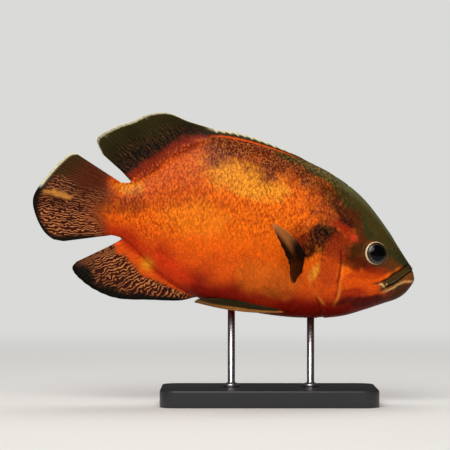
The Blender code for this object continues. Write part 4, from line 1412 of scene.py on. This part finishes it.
def make_scale_material():
    material, tree, sockets = new_material("scales", Roughness=0.42, **WET)
    painted = marked_paint(tree)
    a, c, chance = parts_of(tree, attribute(tree, "plate"))
    forward = maths(tree, "DIVIDE", maths(tree, "SUBTRACT", a, 0.55), 0.45)
    radius = maths(tree, "SQRT", plus(tree, times(tree, forward, forward), times(tree, c, c)))
    speckles = parts_of(tree, attribute(tree, "marks"))[0]
    rim = times(tree, ramp(tree, radius, 0.62, 1.0), plus(tree, times(tree, speckles, 0.45), 0.10))
    darker = mixed(tree, 1.0, painted, (0.42, 0.16, 0.10, 1), "MULTIPLY")
    colour = brightened(tree, plus(tree, times(tree, chance, 0.20), 0.90), mixed(tree, rim, painted, darker))
    tree.links.new(colour, sockets["Base Color"])
    grown = plus(tree, radius, times(tree, noise(tree, object_coordinates(tree), 1 / 0.0012), 0.25))
    add_bump(tree, sockets, maths(tree, "SINE", times(tree, grown, 24.0)), 0.05, 0.0002)
    return material


# Operators

def length_property(name, description, default, smallest, largest):
    return bpy.props.FloatProperty(
        name=name, description=description, default=default, min=smallest, max=largest,
        subtype="DISTANCE", unit="LENGTH",
    )


def colour_property(name, description, colour):
    return bpy.props.FloatVectorProperty(
        name=name, description=description, default=colour, size=3, min=0.0, max=1.0, subtype="COLOR"
    )


class FishSizes(bpy.types.PropertyGroup):
    scale_length: length_property(
        "Scale spacing", "Distance from scale to scale along the deepest part", 0.0037, 0.002, 0.008
    )
    scale_width: length_property(
        "Row spacing", "Distance between rows of scales at the deepest part", 0.0029, 0.002, 0.008
    )
    scale_depth: length_property(
        "Coat depth", "How far the skin lies under the tops of the scales", 0.0005, 0.0002, 0.001
    )
    small_scale: length_property(
        "Small scale spacing", "Spacing of the scales of the face and the fin bases", 0.0020, 0.001, 0.004
    )


class FishColours(bpy.types.PropertyGroup):
    flank: colour_property("Flank", "Orange of the middle of the flank", SHADE["flank"])
    # Its patches high on the flank and on top of the tail stalk are partly painted highlight
    flank_yellow_and_highlight: colour_property("Flank highlights", "Yellow patches of the flank", SHADE["flank_yellow_and_highlight"])
    belly: colour_property("Belly", "Red of the belly", SHADE["belly"])
    band: colour_property("Back band", "Dark maroon along the upper back", SHADE["band"])
    band_line: colour_property("Band lines", "Fine winding lines on the dark patches", SHADE["band_line"])
    blotch: colour_property("Shoulder blotch", "Dark patch behind the head", SHADE["blotch"])
    crown: colour_property("Crown", "Olive of the forehead and nape", SHADE["crown"])
    cheek: colour_property("Cheek", "Orange of the cheek", SHADE["cheek"])
    # The cream on the mouth's corner folds is painted highlight, and on the lip crest partly so
    pale: colour_property("Pale lines", "Cream of the lip crest and the folds", SHADE["pale"])
    fin_dark: colour_property("Dorsal fin", "Ground colour of the soft dorsal fin", SHADE["fin_dark"])
    fin_maroon: colour_property("Patterned fins", "Ground of the tail and anal fins", SHADE["fin_maroon"])
    fin_tan: colour_property("Fin lines", "Lines on the patterned fins", SHADE["fin_tan"])
    fin_edge: colour_property("Fin edges", "Cream margins of the dorsal and tail fins", SHADE["fin_edge"])
    eye_ring: colour_property("Eye ring", "Pale ring round the eye", SHADE["eye_ring"])
    iris: colour_property("Iris", "Dark iris between ring and pupil", SHADE["iris"])


class StageColours(bpy.types.PropertyGroup):
    backdrop: colour_property("Floor", "Colour of the floor and the filling light", (0.70, 0.70, 0.69))
    base: colour_property("Base", "Paint of the display base", (0.022, 0.022, 0.024))
    steel: colour_property("Rods", "Colour of the steel rods", (0.60, 0.60, 0.61))


def take_colours(scene):
    """Puts the colours chosen in the panel into the fish's shades."""
    for name in FishColours.__annotations__:
        SHADE[name] = np.array(getattr(scene.oscar_colours, name))


class OSCAR_OT_skin(bpy.types.Operator):
    """Make the skin of body, head and fins"""

    bl_idname = "oscar.skin"
    bl_label = "Skin"

    def execute(self, context):
        take_colours(context.scene)
        mesh = build_skin(context.scene.oscar_sizes.scale_depth)
        place_piece("skin", mesh, make_skin_material(), nodes=FLESH_NODES, slot="orange_skin")
        return {"FINISHED"}


def beside_fins(place):
    """Whether places lie between the ends of the soft dorsal and anal fins."""
    return (place[:, 0] > SPINY_ROOTS[1]) & (place[:, 0] < SOFT_ROOTS[-1])


def on_body(place, fin, root_left):
    """Where the body's large scales grow."""
    clear = (root_left > ROOT_CLEAR) | ~beside_fins(place)
    return (coat_share(place, root_left) > 0.45) & (fin[:, 2] < 0.5) & clear


def on_face(place, fin, root_left):
    """Where the small scales of cheek and gill cover grow: clear of the eye, the folds and the crown."""
    behind, _, height = place.T
    coat, crown, *folds = (
        line_distance(line, behind, height)[0]
        for line in (COAT_LINE, CROWN_LINE, CHEEK_EDGE, GILL_EDGE, CHEEK_FOLD, COVER_FOLD)
    )
    clear = np.min(np.abs(folds), axis=0) > 1.3
    beyond = (eye_distance(place) > 12.5) & (behind > 0.031) & (height > -0.0360)
    return (coat < 0.6) & (crown < 4) & clear & beyond


def on_fins(place, fin, root_left):
    """Where the small scales of the soft fins' bases grow."""
    kind = np.rint(fin[:, 2])
    reach = np.select([kind == DORSAL, kind == ANAL, kind == TAIL], [0.30, 0.30, 0.26], 0)
    spiny = (kind == DORSAL) & (fin[:, 0] < DORSAL_SPINES + 0.5)
    root = (kind == 0) & (root_left <= ROOT_CLEAR) & beside_fins(place)
    return ((fin[:, 1] < reach) & ~spiny & (kind > 0)) | root


class OSCAR_OT_scales(bpy.types.Operator):
    """Lay the scales over the skin"""

    bl_idname = "oscar.scales"
    bl_label = "Scales"

    def execute(self, context):
        take_colours(context.scene)
        sizes = context.scene.oscar_sizes
        material = make_scale_material()
        large = (sizes.scale_length, sizes.scale_width)
        small = (sizes.small_scale, sizes.small_scale * 0.8)
        under = -sizes.scale_depth + 0.00008
        for side, end in SIDES:
            for name, wanted, seed, pitches, *shape in (
                ("scales", on_body, 11, large, SCALE_REACH, (under, 0.00006), SCALE_THICK, 4),
                ("face_scales", on_face, 31, small, SMALL_REACH, (-0.00012, 0.00009), SMALL_THICK, 3),
                ("fin_scales", on_fins, 31, small, SMALL_REACH, (-0.00012, 0.00009), SMALL_THICK, 3),
            ):
                chosen = roots_in(*pitches, seed + side, wanted)
                mesh = scale_mesh(f"{name}_{end}", chosen, *pitches, *shape, side)
                place_piece(f"{name}_{end}", mesh, material, slot="orange_skin")
        return {"FINISHED"}


def make_eye_materials(colours):
    """Ring, iris and pupil. The ring has painted shade: it is darker ahead of the eye and below it."""
    gloss = {"Roughness": 0.35, "Coat_Roughness": 0.04}
    ring, tree, sockets = new_material("eye_ring", Coat_Weight=0.5, **gloss)
    ahead, _, above = parts_of(tree, object_coordinates(tree))
    eye = SNOUT + Matrix.Rotation(PITCH, 3, "Y") @ Vector((-EYE_PLACE[0], 0, EYE_PLACE[1]))
    # Painted shade: the pale ring darkens towards the lower front of the eye, away from the light
    slope = maths(
        tree, "SUBTRACT", maths(tree, "SUBTRACT", ahead, eye.x), maths(tree, "SUBTRACT", above, eye.z)
    )
    pale = np.array(colours.eye_ring)
    ring_with_painted_shade = mixed(tree, ramp(tree, slope, *RING_SHADE), (*pale, 1), (*(RING_SHADED * pale), 1))
    tree.links.new(ring_with_painted_shade, sockets["Base Color"])
    iris, *_ = new_material("iris", Base_Color=tuple(colours.iris), Coat_Weight=0.3, **gloss)
    pupil, *_ = new_material("pupil", Base_Color=PUPIL_BLACK, Roughness=0.10, Specular_IOR_Level=0.14)
    return ring, iris, pupil


class OSCAR_OT_eyes(bpy.types.Operator):
    """Set the eyes in their sockets"""

    bl_idname = "oscar.eyes"
    bl_label = "Eyes"

    def execute(self, context):
        materials = make_eye_materials(context.scene.oscar_colours)
        middle, axis = socket()
        for side, end in SIDES:
            bm = turned(EYE_OUTLINE, 72)
            for face in bm.faces:
                radius = math.hypot(*face.calc_center_median().xy) / MM
                face.material_index = 0 if radius > IRIS_RADIUS else 1 if radius > PUPIL_RADIUS else 2
            for vert in bm.verts:
                radius = math.hypot(*vert.co.xy) / MM
                vert.co.x += PUPIL_AHEAD * MM * float(1 - eased(radius, 6.5, 7.9))
            out = Vector((-axis[0], -side * axis[1], axis[2]))
            ahead = (Vector((1, 0, 0)) - out * out.x).normalized()
            turn = Matrix((ahead, out.cross(ahead), out)).transposed().to_4x4()
            centre = Matrix.Translation((-middle[0], -side * middle[1], middle[2]))
            pose = Matrix.Translation(SNOUT) @ Matrix.Rotation(PITCH, 4, "Y")
            bmesh.ops.transform(bm, verts=bm.verts, matrix=pose @ centre @ turn)
            mesh = finish_mesh(f"eye_{end}", bm)
            place_piece(f"eyeball_{end}", mesh, *materials, nodes=(f"eye_{end}",), slot="eye_black")
        return {"FINISHED"}


def base_body():
    """The display base with round corners, an eased rim and a fine edge at the foot."""
    low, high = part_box("stand_base")
    size = high - low
    bm = bmesh.new()
    bmesh.ops.create_cube(bm, size=1.0)
    bmesh.ops.scale(bm, verts=bm.verts, vec=size)
    bmesh.ops.translate(bm, verts=bm.verts, vec=(low + high) / 2)
    for wanted, offset, segments in (
        (lambda a, b: abs(a.z - b.z) > size.z / 2, BASE_CORNER, 16),
        (lambda a, b: min(a.z, b.z) > high.z - MM, BASE_RIM, 5),
        (lambda a, b: max(a.z, b.z) < low.z + MM / 2, BASE_FOOT, 2),
    ):
        edges = [edge for edge in bm.edges if wanted(*(vert.co for vert in edge.verts))]
        bmesh.ops.bevel(
            bm, geom=edges, offset=offset, segments=segments, profile=0.5, affect="EDGES", material=-1
        )
    for face in bm.faces:
        face.smooth = abs(face.normal.z) < 0.99
    return finish_mesh("display_base", bm)


def make_base_material(colour):
    material, tree, sockets = new_material("base_paint", Base_Color=tuple(colour), Roughness=0.42)
    add_bump(tree, sockets, noise(tree, object_coordinates(tree), 1 / 0.0006, 3.0), 0.12, 0.0001)
    return material


def make_rod_material(colour):
    material, tree, sockets = new_material("rod_steel", Base_Color=tuple(colour), Metallic=1.0)
    brushed = noise(tree, object_coordinates(tree, stretch=(1, 1, 14)), 1 / 0.004, 3.0)
    tree.links.new(ramp(tree, brushed, 0.2, 0.8, 0.22, 0.36), sockets["Roughness"])
    return material


class OSCAR_OT_stand(bpy.types.Operator):
    """Make the display base and its two rods"""

    bl_idname = "oscar.stand"
    bl_label = "Stand"

    def execute(self, context):
        colours = context.scene.oscar_stage
        material = make_base_material(colours.base)
        place_piece("display_base", base_body(), material, nodes=("stand_base",), slot="base_black")
        material = make_rod_material(colours.steel)
        for name in ("rod_front", "rod_rear"):
            low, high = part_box(f"stand_{name}")
            foot = [(radius, low.z + above) for radius, above in ROD_FOOT]
            top = high.z + ROD_BURIED
            bm = turned([*foot, (ROD_RADIUS, top), (0, top)], 64, (low.x + high.x) / 2)
            place_piece(name, finish_mesh(name, bm), material, nodes=(f"stand_{name}",), slot="rod_steel")
        return {"FINISHED"}


def backdrop_strength(tree):
    """Full strength where the camera sees the backdrop, and softer where it lights or is mirrored."""
    path = node(tree, "ShaderNodeLightPath").outputs
    seen = times(tree, path["Is Camera Ray"], 1 - FILL_LIGHT)
    return plus(tree, times(tree, path["Is Glossy Ray"], MIRRORED_LIGHT - FILL_LIGHT), seen, FILL_LIGHT)


def make_floor(pale):
    bm = bmesh.new()
    bmesh.ops.create_circle(bm, cap_ends=True, segments=96, radius=FLOOR_RADIUS)
    floor = bpy.data.objects.new("floor", finish_mesh("floor", bm))
    material, tree, _ = new_material("pale_floor", Base_Color=pale, Roughness=0.85)
    away = node(tree, "ShaderNodeVectorMath", {0: object_coordinates(tree)}, operation="LENGTH").outputs[1]
    glow = node(tree, "ShaderNodeEmission", {"Color": (*pale, 1), "Strength": backdrop_strength(tree)})
    plain = tree.nodes["Principled BSDF"].outputs[0]
    fade = ramp(tree, away, *FLOOR_FADE)
    joined = node(tree, "ShaderNodeMixShader", {0: fade, 1: plain, 2: glow.outputs[0]})
    tree.links.new(joined.outputs[0], tree.nodes["Material Output"].inputs["Surface"])
    floor.data.materials.append(material)
    return floor


def make_lamp(name, place, size, power):
    light = bpy.data.lights.new(name, "AREA")
    light.shape = "DISK"
    light.size, light.energy, light.color = size, power, LAMP_COLOUR
    lamp = bpy.data.objects.new(name, light)
    lamp.location = place
    lamp.rotation_euler = (Vector(place) - CAMERA_TARGET).to_track_quat("Z", "Y").to_euler()
    lamp.visible_glossy = name == "key"
    return lamp


class OSCAR_OT_stage(bpy.types.Operator):
    """Set the floor, the lights and the camera"""

    bl_idname = "oscar.stage"
    bl_label = "Stage"

    def execute(self, context):
        scene = context.scene
        pale = tuple(scene.oscar_stage.backdrop)
        floor = make_floor(pale)
        scene.collection.objects.link(floor)

        world = bpy.data.worlds.new("studio")
        world.use_nodes = True
        backdrop = world.node_tree.nodes["Background"]
        backdrop.inputs["Color"].default_value = (*pale, 1)
        world.node_tree.links.new(backdrop_strength(world.node_tree), backdrop.inputs["Strength"])
        scene.world = world
        for lamp in LAMPS:
            scene.collection.objects.link(make_lamp(*lamp))

        lens = bpy.data.cameras.new("camera")
        lens.lens, lens.sensor_width = LENS, SENSOR
        camera = bpy.data.objects.new("camera", lens)
        camera.location = CAMERA_TARGET - Vector((0, VIEW_WIDTH * LENS / SENSOR, 0))
        camera.rotation_euler = (math.radians(90), 0, 0)
        scene.collection.objects.link(camera)
        scene.camera = camera
        scene.view_settings.view_transform = "Standard"
        return {"FINISHED"}


class OSCAR_PT_build(bpy.types.Panel):
    """Lists the fish's pieces and their sizes and colours"""

    bl_idname = "OSCAR_PT_build"
    bl_label = "Oscar Fish"
    bl_space_type = "VIEW_3D"
    bl_region_type = "UI"
    bl_category = "Oscar Fish"

    def draw(self, context):
        column = self.layout.column()
        scene = context.scene
        for group in (scene.oscar_sizes, scene.oscar_colours, scene.oscar_stage):
            for name in group.bl_rna.properties.keys():
                if name not in ("rna_type", "name"):
                    column.prop(group, name)
        for operator in STEPS:
            column.operator(operator.bl_idname)


STEPS = (OSCAR_OT_skin, OSCAR_OT_scales, OSCAR_OT_eyes, OSCAR_OT_stand, OSCAR_OT_stage)
CLASSES = (FishSizes, FishColours, StageColours, *STEPS, OSCAR_PT_build)


def register():
    for each in CLASSES:
        bpy.utils.register_class(each)
    bpy.types.Scene.oscar_sizes = bpy.props.PointerProperty(type=FishSizes)
    bpy.types.Scene.oscar_colours = bpy.props.PointerProperty(type=FishColours)
    bpy.types.Scene.oscar_stage = bpy.props.PointerProperty(type=StageColours)


def unregister():
    del bpy.types.Scene.oscar_stage
    del bpy.types.Scene.oscar_colours
    del bpy.types.Scene.oscar_sizes
    for each in reversed(CLASSES):
        bpy.utils.unregister_class(each)


def main():
    register()
    bpy.ops.oscar.skin()
    bpy.ops.oscar.scales()
    bpy.ops.oscar.eyes()
    bpy.ops.oscar.stand()
    bpy.ops.oscar.stage()


if __name__ == "__main__":
    main()
